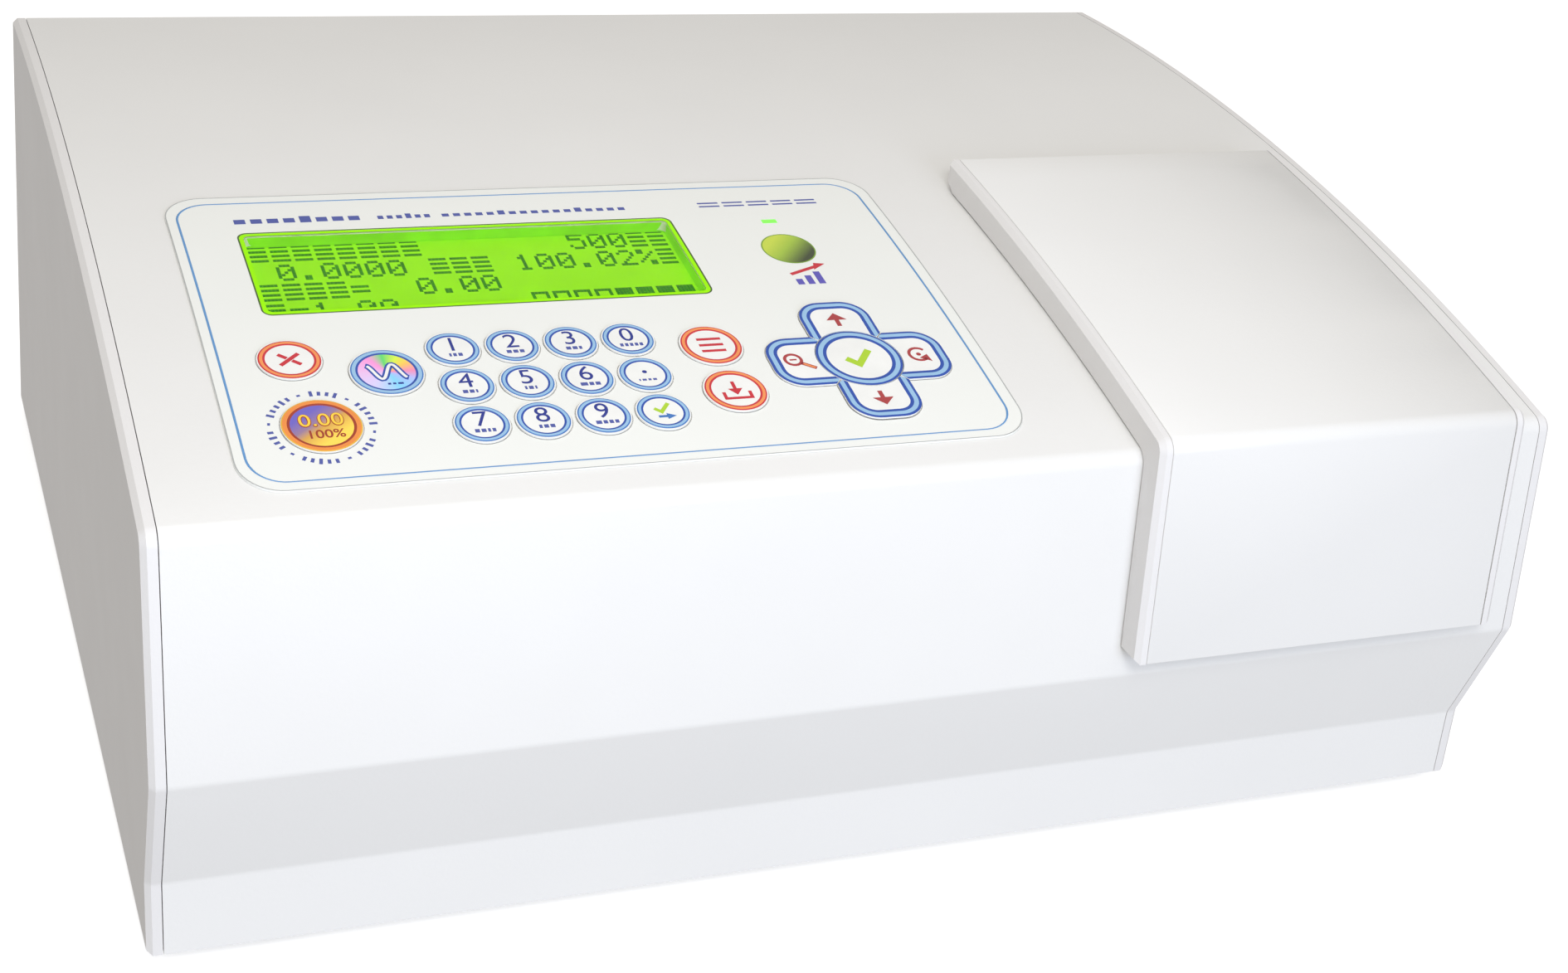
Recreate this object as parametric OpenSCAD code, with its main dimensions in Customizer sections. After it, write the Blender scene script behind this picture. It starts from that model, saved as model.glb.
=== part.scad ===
// Benchtop spectrophotometer: a bent cover sheet held between two side plates, a hinged lid over
// the sample compartment, a membrane-faced keypad with short-travel keys, a four-line display,
// and the optical bench, electronics and rear fittings inside.
// X runs across the front, Y runs to the back, Z is up. Millimetres.

/* [Body] */
// Overall width across both side plates
body_w = 395; // [385:1:440]
// Height of the front fold above the skirt edge
front_h = 121.5; // [118:0.5:136]
// Depth of the top, from the front fold to the back edge
top_run = 292; // [285:1:330]
// Rise of the top from the front fold to the back edge
top_rise = 32.5; // [24:0.5:40]
// Height of the crown of the top above its straight chord
top_crown = 11; // [8:0.5:16]
// How far the front leans out between the fold and the knee
nose_lean = 8.5; // [4:0.5:12]
// Height of the knee above the skirt edge
knee_h = 57.5; // [50:0.5:62]
// Height of the tuck, where the band meets the skirt
tuck_h = 21; // [16:0.5:26]
// How far the band runs back in under the knee
tuck_in = 12; // [8:0.5:16]
// How far the skirt edge stands forward of the tuck
toe = 1.5; // [0:0.5:3]
// How far the foot of the back stands out behind its top
back_lean = 39; // [20:1:48]
// Bend radius at the front fold
fold_r = 5; // [3:0.5:8]
// Bend radius at the knee and the tuck
knee_r = 4; // [2:0.5:6]
// Thickness of the cover sheet
sheet_t = 2.5; // [1.5:0.1:3]
// Thickness of each side plate
plate_t = 4; // [3:0.5:6]
// Width of the bevel on a plate's outer edge
bevel_w = 1.5; // [0.5:0.1:2]
// Depth of the bevel on a plate's outer edge
bevel_d = 1.2; // [0.5:0.1:2]
// Hairline gap between a cover and its side plate
seam = 0.25; // [0.1:0.05:0.5]
// Height of the rubber feet
foot_h = 4; // [3:0.5:8]
// Radius of the rubber feet
foot_r = 9; // [6:0.5:14]

/* [Lid] */
// Distance of the lid's left face from the centre of the body
lid_x = 63.3; // [58:0.1:66]
// Width of the lid
lid_w = 117.5; // [112:0.5:120]
// Height of the lid's skin above the body's skin
lid_rise = 8.7; // [8:0.1:12]
// Thickness of the lid's sheet
lid_sheet = 2; // [1:0.1:2.5]
// Bend radius of the lid's sheet at its front fold
lid_fold_r = 5; // [4:0.5:8]
// Thickness of the lid's side plates
lid_plate = 3.3; // [2:0.1:5]
// Distance of the lid's back edge behind the front fold
lid_back = 132.5; // [128:0.5:140]
// How far the lid hangs down over the front
lid_drop = 56; // [48:0.5:58]
// Gap between the lid and the body's skin
lid_gap = 0.5; // [0.3:0.1:1]
// Radius of the hinge pin
pin_r = 1.2; // [1:0.1:1.4]
// Running clearance round the hinge pin
pin_fit = 0.05; // [0.02:0.01:0.1]

/* [Display and keypad] */
// Left edge of the keypad overlay from the centre of the body
overlay_x = -172.8; // [-176:0.1:-168]
// Width of the overlay
overlay_w = 208.7; // [206:0.1:212]
// Front edge of the overlay behind the front fold
overlay_y = 10.5; // [9:0.1:12]
// Depth of the overlay
overlay_d = 129.1; // [126:0.1:132]
// Corner radius of the overlay
overlay_r = 11; // [6:0.5:14]
// Thickness of the overlay
overlay_t = 0.5; // [0.3:0.1:0.8]
// Left edge of the display window from the centre of the body
window_x = -155.2; // [-158:0.1:-154]
// Width of the display window
window_w = 123.5; // [120:0.5:125]
// Front edge of the display window behind the front fold
window_y = 78.7; // [78:0.1:80]
// Depth of the display window
window_d = 40.2; // [36:0.1:42]
// Corner radius of the display window
window_r = 2.5; // [1:0.1:4]
// Radius of a number key
key_r = 7.2; // [6:0.1:7.4]
// Distance between number keys across the panel
key_pitch_x = 15.85; // [15.5:0.05:16.5]
// Distance between number keys along the panel
key_pitch_y = 15.2; // [15.2:0.05:16]
// Height of a key's face above the overlay
key_proud = 0.4; // [0.4:0.1:1]
// Travel of a key
key_travel = 0.3; // [0.2:0.05:0.35]
// Gap round a key
key_gap = 0.3; // [0.3:0.05:0.4]
// Radius of a key's stem
stem_r = 2; // [1.5:0.1:2.5]

/* [Sample compartment] */
// Left wall of the compartment, inside the lid's left face
tub_inset = 14; // [12:0.5:18]
// Inner width of the compartment
tub_w = 90; // [84:1:92]
// Inner depth of the compartment
tub_d = 114; // [112:1:118]
// Front wall of the compartment behind the front fold
tub_y = 9; // [8:0.5:12]
// Floor of the compartment above the skirt edge
tub_floor = 44; // [40:1:50]
// Wall of the compartment
tub_wall = 2; // [1.5:0.1:3]
// Side of a square cuvette slot
cell_s = 12.8; // [12.6:0.1:13]
// Distance between cuvette slots
cell_pitch = 15.5; // [15:0.1:16]
// Number of cuvette slots
cells = 4; // [3:1:4]
// Height of the beam above the floor of a cuvette slot
beam_h = 15; // [8.5:0.5:15]
// Height of the cuvette carriage
carriage_h = 32; // [28:1:36]

/* [Rear] */
// Thickness of the rear panel
panel_t = 2; // [1.5:0.1:3]
// Side of the cooling fan
fan_s = 60; // [50:1:60]
// Width of the mains inlet module
inlet_w = 28; // [26:0.5:30]
// Height of the mains inlet module
inlet_h = 58; // [56:0.5:62]

/* [Hidden] */
$fn = 48;
DIGITS = ["key_1", "key_2", "key_3", "key_0", "key_4", "key_5", "key_6", "key_point",
          "key_7", "key_8", "key_9", "key_enter"];
LOBES = ["key_right", "key_up", "key_left", "key_down"];

// Profile of the body in the Y-Z plane.
z0 = foot_h;
front_run = front_h - knee_h;
y_fold = (nose_lean*lid_drop/front_run + lid_rise*norm([nose_lean, front_run])/front_run
          - top_run - back_lean)/2;
fold = [y_fold, z0 + front_h];
back_top = fold + [top_run, top_rise];
knee = [y_fold - nose_lean, z0 + knee_h];
tuck = knee + [tuck_in, tuck_h - knee_h];
skirt = [tuck[0] - toe, z0];
back_foot = [back_top[0] + back_lean, z0];

// The top is one arc through the fold and the back edge.
chord = norm(back_top - fold);
crown_r = (chord*chord/4 + top_crown*top_crown)/(2*top_crown);
chord_n = [-top_rise, top_run]/chord;
crown_c = (fold + back_top)/2 - chord_n*(crown_r - top_crown);
function tilt(y) = asin((y - crown_c[0])/crown_r);
function skin_z(y, d = 0) = crown_c[1] + sqrt(pow(crown_r + d, 2) - pow(y - crown_c[0], 2));

// Outward normals of the front faces, as angles in the Y-Z plane.
function out_angle(a, b) = let (t = b - a) (atan2(-t[0], t[1]) + 360) % 360;
a_front = out_angle(fold, knee);
a_band = out_angle(knee, tuck);
a_skirt = out_angle(tuck, skirt);
function dir(a) = [cos(a), sin(a)];
front_up = [-sin(a_front), cos(a_front)]*-1;
// Centre of a fold of radius r in the outline moved out by d, and the angle where its arc leaves the top.
function fold_at(d, r) =
    let (q = fold + (d - r)*dir(a_front) - crown_c, t = q*front_up)
    q + crown_c + (sqrt(t*t - q*q + pow(crown_r + d - r, 2)) - t)*front_up;
function top_angle(c) = atan2(c[1] - crown_c[1], c[0] - crown_c[0]);
fold_c = fold_at(0, fold_r);
a_top = top_angle(fold_c);

function arc(c, r, a0, a1, n) = [for (i = [0:n]) c + r*dir(a0 + (a1 - a0)*i/n)];
// A rounded corner of the outline, moved out by d.
function bend(p, a0, a1, r, d, n = 5) =
    let (s = a1 > a0 ? 1 : -1)
    arc(p - s*r*(dir(a0) + dir(a1))/(1 + cos(a1 - a0)), s*r + d, a0, a1, n);

back_k = back_lean/(front_h + top_rise);
back_s = sqrt(1 + back_k*back_k);
function back_y(z, e) = back_foot[0] - (z - z0)*back_k + e*back_s;
skirt_k = toe/tuck_h;
function skirt_y(z, d) = skirt[0] + (z - z0)*skirt_k - d*sqrt(1 + skirt_k*skirt_k);
function front_y(z, d) = fold[0] + (z - fold[1])*nose_lean/front_run
    - d*norm([nose_lean, front_run])/front_run;

// The front of the outline from the fold to the skirt, moved out by d, with the foot at offset e.
// The fold is centred on c, and its radius is r where the outline isn't moved.
function front_outline(d, e, c = fold_c, r = fold_r) = concat(
    arc(c, r + d, top_angle(c), a_front, 8),
    bend(knee, a_front, a_band, knee_r, d),
    bend(tuck, a_band, a_skirt, knee_r, d),
    [[skirt_y(z0 - e, d), z0 - e]]);

// Where the back line at offset e meets the top arc at offset d.
function back_corner(d, e) =
    let (a = back_foot[0] + e*back_s - crown_c[0], h = z0 - crown_c[1],
         qa = 1 + back_k*back_k, qb = 2*(h - back_k*a), qc = a*a + h*h - pow(crown_r + d, 2),
         w = (-qb + sqrt(qb*qb - 4*qa*qc))/(2*qa))
    [back_y(z0 + w, e), z0 + w];

// The whole outline as points, for bevelled plates.
function outline(d) =
    let (c = back_corner(d, d), a = atan2(c[1] - crown_c[1], c[0] - crown_c[0]))
    concat([[back_y(z0 - d, d), z0 - d]], arc(crown_c, crown_r + d, a, a_top, 24),
           [for (i = [1:1:len(front_outline(d, d)) - 1]) front_outline(d, d)[i]]);

// The region inside the outline, with its top a true arc.
module profile(d = 0, e = 0, c = fold_c, r = fold_r) {
    above = 60;
    intersection() {
        translate(crown_c) circle(crown_r + d, $fn = 360);
        polygon(concat(
            [[back_y(z0 - e, e), z0 - e], [back_y(back_top[1] + above, e), back_top[1] + above],
             c + (r + above)*dir(top_angle(c))],
            front_outline(d, e, c, r)));
    }
}

// Stretches a Y-Z shape from x0 to x1.
module along_x(x0, x1) {
    translate([x0, 0, 0]) rotate([90, 0, 90]) linear_extrude(x1 - x0) children();
}

// A box given by its lowest and highest corners.
module block(a, b) {
    translate(a) cube(b - a);
}

// Places children on the top skin, with Z along its outward normal.
module on_top(x, y, d = 0) {
    t = tilt(y);
    translate([x, crown_c[0] + (crown_r + d)*sin(t), crown_c[1] + (crown_r + d)*cos(t)])
        rotate([-t, 0, 0]) children();
}

// Places children on the rear panel, u up its slope, with Z along its outward normal.
module on_back(x, u) {
    back_angle = atan(back_k);
    translate([x, back_foot[0] - u*sin(back_angle), z0 + u*cos(back_angle)])
        rotate([90 - back_angle, 0, 180]) children();
}

// A flat rectangle with round corners.
module round_rect(w, d, r) {
    translate([r, 0]) square([w - 2*r, d]);
    translate([0, r]) square([w, d - 2*r]);
    for (x = [r, w - r], y = [r, d - r]) translate([x, y]) circle(r);
}

// A slice of the top between two offsets, cut to a plan shape.
module top_slice(x0, x1, d0, d1) {
    intersection() {
        along_x(x0, x1) difference() {
            translate(crown_c) circle(crown_r + d1, $fn = 360);
            translate(crown_c) circle(crown_r + d0, $fn = 360);
        }
        translate([0, 0, z0 + front_h/2]) linear_extrude(front_h) children();
    }
}

function tail(v) = [for (i = [1:len(v) - 1]) v[i]];
// Triangles of an end face that can all be seen from point 0.
function fan_cap(n) = [for (i = [1:n - 2]) [0, i, i + 1]];
// Triangles of a bent band whose outer points 0 to last face inner points 2*last + 1 down, with a
// round end after them.
function band_cap(n, last) = concat(
    [for (o = [0:last - 1], t = [[o, o + 1, 2*last - o], [o, 2*last - o, 2*last + 1 - o]]) t],
    [for (i = [2*last + 1:n - 2]) [0, i, i + 1]]);

// A solid lofted through equal-length outlines at the given x places, with the given end triangles.
module loft(xs, rings, cap) {
    n = len(rings[0]);
    far = (len(xs) - 1)*n;
    pts = [for (k = [0:len(xs) - 1]) for (p = rings[k]) [xs[k], p[0], p[1]]];
    sides = [for (k = [0:len(xs) - 2]) for (i = [0:n - 1])
        [k*n + i, k*n + (i + 1) % n, (k + 1)*n + (i + 1) % n, (k + 1)*n + i]];
    polyhedron(pts, concat([for (t = cap) [t[2], t[1], t[0]]], sides,
        [for (t = cap) [for (i = t) far + i]]), convexity = 6);
}

// ---- Casing ----
half_w = body_w/2;
inner_w = half_w - plate_t;
cover_w = inner_w - seam;
tray_t = 1.5;
tray_z = z0 + 1;
floor_z = tray_z + tray_t;
wall_gap = 0.3;
panel_top = norm([back_lean, front_h + top_rise]);
boss_r = 5;
boss_l = 12;
boss_x = cover_w - boss_r;
screw_r = 1.5;
screw_head = 2.8;
boss_bite = 1.2;
screw_us = [14, panel_top - sheet_t - boss_r + boss_bite];

module side_plate() {
    loft([-half_w, -half_w + bevel_w, -inner_w], [outline(-bevel_d), outline(0), outline(0)],
         fan_cap(len(outline(0))));
}

// A screw boss behind the rear panel, along the panel's inward normal.
module panel_boss(x, u) {
    on_back(x, u) translate([0, 0, -panel_t - wall_gap - boss_l]) difference() {
        cylinder(r = boss_r, h = boss_l);
        translate([0, 0, 2]) cylinder(r = screw_r + 0.05, h = boss_l);
    }
}

module left_side_plate() {
    color("gainsboro") side_plate();
}

module right_side_plate() {
    color("gainsboro") mirror([1, 0, 0]) side_plate();
}

// Opening of the cover over the sample compartment: through the top and the upper front.
tub_x = lid_x + tub_inset;
tub_back = y_fold + tub_y + tub_d;
tub_front = y_fold + tub_y;
tub_z = z0 + tub_floor;
mouth_lip = 4;
mouth_back = tub_back - mouth_lip;
mouth_rise = 24;
mouth_low = fold[1] - lid_drop + mouth_rise;

module top_cover() {
    ledge = 1.2;
    color("whitesmoke") difference() {
        along_x(-cover_w, cover_w) difference() {
            profile(0, 0);
            profile(-sheet_t, 10);
        }
        block([tub_x, y_fold - 40, mouth_low], [tub_x + tub_w, mouth_back, back_top[1] + 20]);
        translate([window_x + ledge, y_fold + window_y + ledge, z0 + knee_h])
            linear_extrude(front_h) round_rect(window_w - 2*ledge, window_d - 2*ledge, window_r);
        for (k = key_places()) on_top(k[0], k[1], -sheet_t - 2)
            cylinder(r = stem_r + key_gap, h = sheet_t + 4);
        on_top(led_x, y_fold + led_y, -sheet_t - 2)
            translate([-led_l/2 - 0.1, -led_w/2 - 0.1, 0]) cube([led_l + 0.2, led_w + 0.2, 8]);
    }
    color("whitesmoke") for (s = [-1, 1]) panel_boss(s*boss_x, screw_us[1]);
}

module base_tray() {
    side = inner_w - seam;
    front = skirt[0] + toe + sheet_t + 0.6;
    back = back_y(floor_z + 16, -panel_t - wall_gap) - 1;
    color("silver") difference() {
        union() {
            block([-side, front, tray_z], [side, back, floor_z]);
            for (s = [-1, 1]) translate([s*(side - tray_t/2), 0, 0])
                block([-tray_t/2, front, tray_z], [tray_t/2, back, floor_z + 14]);
        }
        for (i = [0:7], s = [0, 1]) translate([-150 + s*170 + i*14, y_fold + 150, 0])
            block([0, 0, tray_z - 1], [5, 60, floor_z + 1]);
        for (x = [-1, 1], y = foot_ys()) translate([x*foot_x, y, 0])
            cylinder(r = foot_stud + 0.1, h = 30);
    }
    color("silver") for (s = [-1, 1]) {
        panel_boss(s*boss_x, screw_us[0]);
        on_back(s*boss_x, screw_us[0]) translate([-2, 2 - screw_us[0], -panel_t - wall_gap - boss_l])
            cube([4, screw_us[0] - 3 - screw_r, boss_l]);
    }
}

foot_x = half_w - 35;
foot_stud = 3;
function foot_ys() = [y_fold + 22, back_foot[0] - 40];

module feet() {
    color("dimgray") for (x = [-1, 1], y = foot_ys()) translate([x*foot_x, y, 0]) {
        cylinder(r1 = foot_r - 1, r2 = foot_r, h = 1, $fn = 48);
        translate([0, 0, 1]) cylinder(r = foot_r, h = tray_z - 1);
        cylinder(r = foot_stud, h = floor_z + 2);
    }
}

// Rear panel and its fittings. Places are given as [x, u], u up the slope.
fan_at = [95, 68];
inlet_at = [-120, 52];
port_at = [-40, 36];
port_w = 31;
port_h = 13;

module rear_panel() {
    color("lightgray") difference() {
        along_x(-cover_w, cover_w) intersection() {
            profile(-sheet_t - wall_gap, 0);
            polygon([for (p = [[tray_z, 1], [back_top[1], 1], [back_top[1], -panel_t],
                               [tray_z, -panel_t]]) [back_y(p[0], p[1]), p[0]]]);
        }
        for (i = [-4:4])
            on_back(fan_at[0], fan_at[1]) translate([0, i*6, -panel_t - 1])
                linear_extrude(panel_t + 2) slot2d(2*sqrt(pow(fan_s/2 - 2, 2) - pow(i*6, 2)), 3.6);
        for (sx = [-1, 1], sy = [-1, 1]) on_back(fan_at[0], fan_at[1])
            translate([sx*fan_hole, sy*fan_hole, -panel_t - 1]) cylinder(r = 2.1, h = panel_t + 2);
        on_back(inlet_at[0], inlet_at[1]) translate([-inlet_w/2, -inlet_h/2, -panel_t - 1])
            cube([inlet_w, inlet_h, panel_t + 2]);
        on_back(port_at[0], port_at[1]) translate([-port_w/2 + 5, -port_h/2, -panel_t - 1])
            cube([port_w - 10, port_h, panel_t + 2]);
        for (s = [-1, 1], u = screw_us) on_back(s*boss_x, u) translate([0, 0, -panel_t - 1])
            cylinder(r = screw_r + 0.2, h = panel_t + 2);
    }
}
fan_hole = fan_s/2 - 5;

module slot2d(l, w) {
    square([l - w, w], center = true);
    for (s = [-1, 1]) translate([s*(l - w)/2, 0]) circle(w/2, $fn = 24);
}

module panel_screws() {
    color("silver") {
        for (s = [-1, 1], u = screw_us) on_back(s*boss_x, u) cross_screw(screw_r, 9);
        for (sx = [-1, 1], sy = [-1, 1]) on_back(fan_at[0], fan_at[1])
            translate([sx*fan_hole, sy*fan_hole, 0]) cross_screw(1.9, fan_t + panel_t);
    }
}

// A pan-head screw whose head rests on Z = 0, with a cross recess.
module cross_screw(r, l) {
    head = 1.6;
    translate([0, 0, -l]) cylinder(r = r, h = l);
    difference() {
        cylinder(r = r + 1.4, h = head);
        for (a = [0, 90]) rotate(a) translate([-r, -0.4, head - 0.8]) cube([2*r, 0.8, 2]);
    }
}

// ---- Keypad and display ----
led_x = -1.8;
led_y = 114.7;
led_l = 4.4;
led_w = 1.8;
key_x = -110.3;
key_y = 59.3;
pad_x = -1.5;
pad_y = 45.2;
ok_r = 12;
lobe_reach = 25.7;
arm_w = 20.8;
arm_r = 7.5;
// Round function keys: name, x, distance behind the fold, radius.
ROUND_KEYS = [
    ["key_escape", -152.5, 58.7, 8.2], ["key_wavelength", -129.3, 51.4, 9.5],
    ["key_zero", -149.6, 32.3, 10], ["key_menu", -40.9, 54.6, 8.7],
    ["key_memory", -40.7, 35.2, 8.7], ["key_ok", pad_x, pad_y, ok_r]];
lobe_mid = ok_r + 5.5;
function digit_at(i) = [key_x + key_pitch_x*(i % 4), y_fold + key_y - key_pitch_y*floor(i/4)];
function lobe_at(i) = [pad_x + lobe_mid*cos(90*i), y_fold + pad_y + lobe_mid*sin(90*i)];
function key_places() = concat([for (i = [0:11]) digit_at(i)],
    [for (k = ROUND_KEYS) [k[1], y_fold + k[2]]], [for (i = [0:3]) lobe_at(i)]);

// Plan of one arm of the cursor pad, from its centre, grown by g.
module arm2d(g = 0) {
    translate([0, -arm_w/2 - g]) round_rect(lobe_reach + g, arm_w + 2*g, arm_r + g);
}

// Plan of the cross-shaped hole that the cursor keys and the OK key share.
module pad_hole2d() {
    for (i = [0:3]) rotate(90*i) arm2d(key_gap);
    circle(ok_r + key_gap);
}

// Plan of one cursor lobe: an arm, clear of the OK key and of the arms beside it.
module lobe2d(i) {
    rotate(90*i) difference() {
        arm2d();
        circle(ok_r + key_gap);
        for (s = [-1, 1]) rotate(45*s) translate([0, s > 0 ? -key_gap/2 : key_gap/2 - 60])
            square([60, 60]);
    }
}

key_top = overlay_t + key_proud;
circuit_gap = 0.35;

module key_stem() {
    translate([0, 0, -sheet_t - 1]) cylinder(r = stem_r, h = sheet_t + 1 + key_top - 0.1);
}

module round_key(x, y, r) {
    color("white") on_top(x, y) {
        translate([0, 0, key_travel + 0.1]) cylinder(r = r, h = key_top - key_travel - 0.1);
        key_stem();
    }
}

module lobe_key(i) {
    color("white") {
        on_top(pad_x, y_fold + pad_y) translate([0, 0, key_travel + 0.1])
            linear_extrude(key_top - key_travel - 0.1) lobe2d(i);
        on_top(lobe_at(i)[0], lobe_at(i)[1]) key_stem();
    }
}

module keypad_overlay() {
    color("white") difference() {
        top_slice(overlay_x, overlay_x + overlay_w, 0, overlay_t)
            translate([overlay_x, y_fold + overlay_y]) round_rect(overlay_w, overlay_d, overlay_r);
        for (i = [0:11]) on_top(digit_at(i)[0], digit_at(i)[1], -1)
            cylinder(r = key_r + key_gap, h = 3);
        for (k = ROUND_KEYS) on_top(k[1], y_fold + k[2], -1) cylinder(r = k[3] + key_gap, h = 3);
        on_top(pad_x, y_fold + pad_y, -1) linear_extrude(3) pad_hole2d();
        translate([window_x, y_fold + window_y, z0 + knee_h]) linear_extrude(front_h)
            round_rect(window_w, window_d, window_r);
        on_top(led_x, y_fold + led_y, -1) translate([-led_l/2 - 0.1, -led_w/2 - 0.1, 0])
            cube([led_l + 0.2, led_w + 0.2, 3]);
    }
}

module display_window() {
    fit = 0.05;
    color("yellowgreen", 0.6) top_slice(window_x, window_x + window_w, 0, overlay_t - 0.05)
        translate([window_x + fit, y_fold + window_y + fit])
            round_rect(window_w - 2*fit, window_d - 2*fit, window_r - fit);
}

// The display module hangs under the cover: a black frame round the glass on a board.
lcd_y = y_fold + window_y + window_d/2;
lcd_x = window_x + window_w/2;
lcd_drop = sheet_t + 0.5;
lcd_l = window_w + 18;
lcd_d = window_d + 20;
lcd_h = 8;

module lcd_frame() {
    color("black") on_top(lcd_x, lcd_y, -lcd_drop) difference() {
        translate([-lcd_l/2, -lcd_d/2, -lcd_h]) cube([lcd_l, lcd_d, lcd_h]);
        translate([-window_w/2 - 1, -window_d/2 - 1, -lcd_h + 1.6])
            cube([window_w + 2, window_d + 2, lcd_h]);
        for (sx = [-1, 1], sy = [-1, 1])
            translate([sx*(lcd_l/2 - 4), sy*(lcd_d/2 - 4), -lcd_h - 1]) cylinder(r = 1.6, h = 12);
    }
}

module lcd_glass() {
    color("darkolivegreen") on_top(lcd_x, lcd_y, -lcd_drop)
        translate([-window_w/2 - 0.9, -window_d/2 - 0.9, -lcd_h + 1.6])
            cube([window_w + 1.8, window_d + 1.8, lcd_h - 2]);
}

module status_led() {
    color("limegreen") on_top(led_x, y_fold + led_y, -sheet_t - 3)
        translate([-led_l/2, -led_w/2, 0]) cube([led_l, led_w, sheet_t + 3 + overlay_t + 0.1]);
}

// The key circuit is a curved board under the cover, with a rim that seats on the cover.
module keypad_circuit() {
    x0 = overlay_x + 6;
    x1 = overlay_x + overlay_w - 6;
    y0 = y_fold + overlay_y + 4;
    y1 = lcd_y - lcd_d/2 - 0.6;
    top = -sheet_t - 1 - key_travel - circuit_gap;
    rim = 1.5;
    color("seagreen") {
        top_slice(x0, x1, top - 1.6, top) translate([x0, y0]) square([x1 - x0, y1 - y0]);
        top_slice(x0, x1, top, -sheet_t) translate([x0, y0]) difference() {
            square([x1 - x0, y1 - y0]);
            translate([rim, rim]) square([x1 - x0 - 2*rim, y1 - y0 - 2*rim]);
        }
    }
    color("silver") for (k = key_places()) on_top(k[0], k[1], top - 0.1)
        cylinder(r = 2.6, h = 0.4);
}

// ---- Lid ----
lid_y1 = y_fold + lid_back;
lid_z0 = fold[1] - lid_drop;
lid_x1 = lid_x + lid_w;
lid_fold_c = fold_at(lid_rise, lid_fold_r);
lid_fold_0 = lid_fold_r - lid_rise;
lid_a_top = top_angle(lid_fold_c);
hinge_back = 3;
hinge_y = lid_y1 - hinge_back;
hinge_h = 3.6;
hinge = [hinge_y, skin_z(hinge_y, hinge_h)];
knuckle_r = 2.5;
// Knuckles along the pin, as [start, end] from the pin's left end.
knuckle_l = 12;
pin_x0 = lid_x + lid_plate + 4;
pin_x1 = lid_x1 - lid_plate - 4;

module lid_band(d0, d1, c = fold_c, r = fold_r) {
    intersection() {
        difference() {
            profile(d1, 30, c, r);
            profile(d0, 35, c, r);
        }
        translate([lid_y1 - 400, lid_z0]) square([400, 400]);
    }
}

module lid_cover() {
    color("whitesmoke") along_x(lid_x + lid_plate + seam, lid_x1 - lid_plate - seam)
        lid_band(lid_rise - lid_sheet, lid_rise, lid_fold_c, lid_fold_0);
}

crown_cuts = 12;
fold_cuts = 8;
// One closed outline of a lid side plate, from its back edge round to its foot and back.
function lid_ring(d) =
    let (lift = lid_rise - d, y1 = lid_y1 - lift, z1 = lid_z0 + lift,
         a0 = acos((y1 - crown_c[0])/(crown_r + d)),
         a2 = acos((hinge_y - 2 - crown_c[0])/(crown_r + lid_gap)))
    concat(
        arc(crown_c, crown_r + d, a0, lid_a_top, crown_cuts),
        tail(arc(lid_fold_c, lid_fold_0 + d, lid_a_top, a_front, fold_cuts)),
        [[front_y(z1, d), z1], [front_y(z1, lid_gap), z1]],
        arc(fold_c, fold_r + lid_gap, a_front, a_top, fold_cuts),
        tail(arc(crown_c, crown_r + lid_gap, a_top, a2, crown_cuts)),
        arc(hinge, hinge_back - lift, -95, 0, 6));

module lid_side() {
    loft([0, bevel_w, lid_plate],
         [lid_ring(lid_rise - bevel_d), lid_ring(lid_rise), lid_ring(lid_rise)],
         band_cap(len(lid_ring(0)), crown_cuts + fold_cuts + 1));
}

module lid_left_plate() {
    color("gainsboro") translate([lid_x, 0, 0]) lid_side();
}

module lid_right_plate() {
    color("gainsboro") translate([lid_x1, 0, 0]) mirror([1, 0, 0]) lid_side();
}

// Light seal: a foam frame inside the lid, round the mouth of the compartment.
module lid_seal() {
    foam = 5;
    x0 = tub_x - 1 - foam;
    x1 = tub_x + tub_w + 1 + foam;
    low = mouth_low - 1 - foam;
    back = mouth_back + 1 + foam;
    color("dimgray") difference() {
        along_x(x0, x1) intersection() {
            difference() {
                profile(lid_rise - lid_sheet, 30, lid_fold_c, lid_fold_0);
                profile(lid_gap, 35);
            }
            translate([back - 400, low]) square([400, 400]);
        }
        block([x0 + foam, y_fold - 60, low + foam], [x1 - foam, back - foam, back_top[1] + 40]);
    }
}

function lid_knuckles() = [pin_x0 + knuckle_l + 0.2, pin_x1 - 2*knuckle_l - 0.2];
function body_knuckles() = [pin_x0, pin_x1 - knuckle_l];

module knuckle(x) {
    translate([x, hinge[0], hinge[1]]) rotate([0, 90, 0]) cylinder(r = knuckle_r, h = knuckle_l);
}

module pin_bore(x, l, r) {
    translate([x, hinge[0], hinge[1]]) rotate([0, 90, 0]) cylinder(r = r, h = l);
}

// Lid-side hinge leaves: knuckles that hang from straps under the lid's sheet.
module lid_hinge_leaf() {
    color("silver") for (x = lid_knuckles()) difference() {
        union() {
            knuckle(x);
            along_x(x, x + knuckle_l) intersection() {
                lid_band(hinge_h + 1, lid_rise - lid_sheet);
                translate([hinge_y - 4, 0]) square([5.5, 400]);
            }
        }
        pin_bore(x - 1, knuckle_l + 2, pin_r + pin_fit);
    }
}

// Body-side hinge brackets: knuckles on feet that seat on the cover.
module hinge_bracket() {
    color("silver") for (x = body_knuckles()) difference() {
        union() {
            knuckle(x);
            along_x(x, x + knuckle_l) intersection() {
                difference() {
                    profile(hinge_h - 1, 30);
                    profile(0, 35);
                }
                translate([hinge_y - 2.2, 0]) square([4.4, 400]);
            }
        }
        pin_bore(x - 1, knuckle_l + 2, pin_r);
    }
}

module hinge_pin() {
    color("dimgray") pin_bore(pin_x0 - 0.5, pin_x1 - pin_x0 + 1, pin_r);
}

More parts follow.
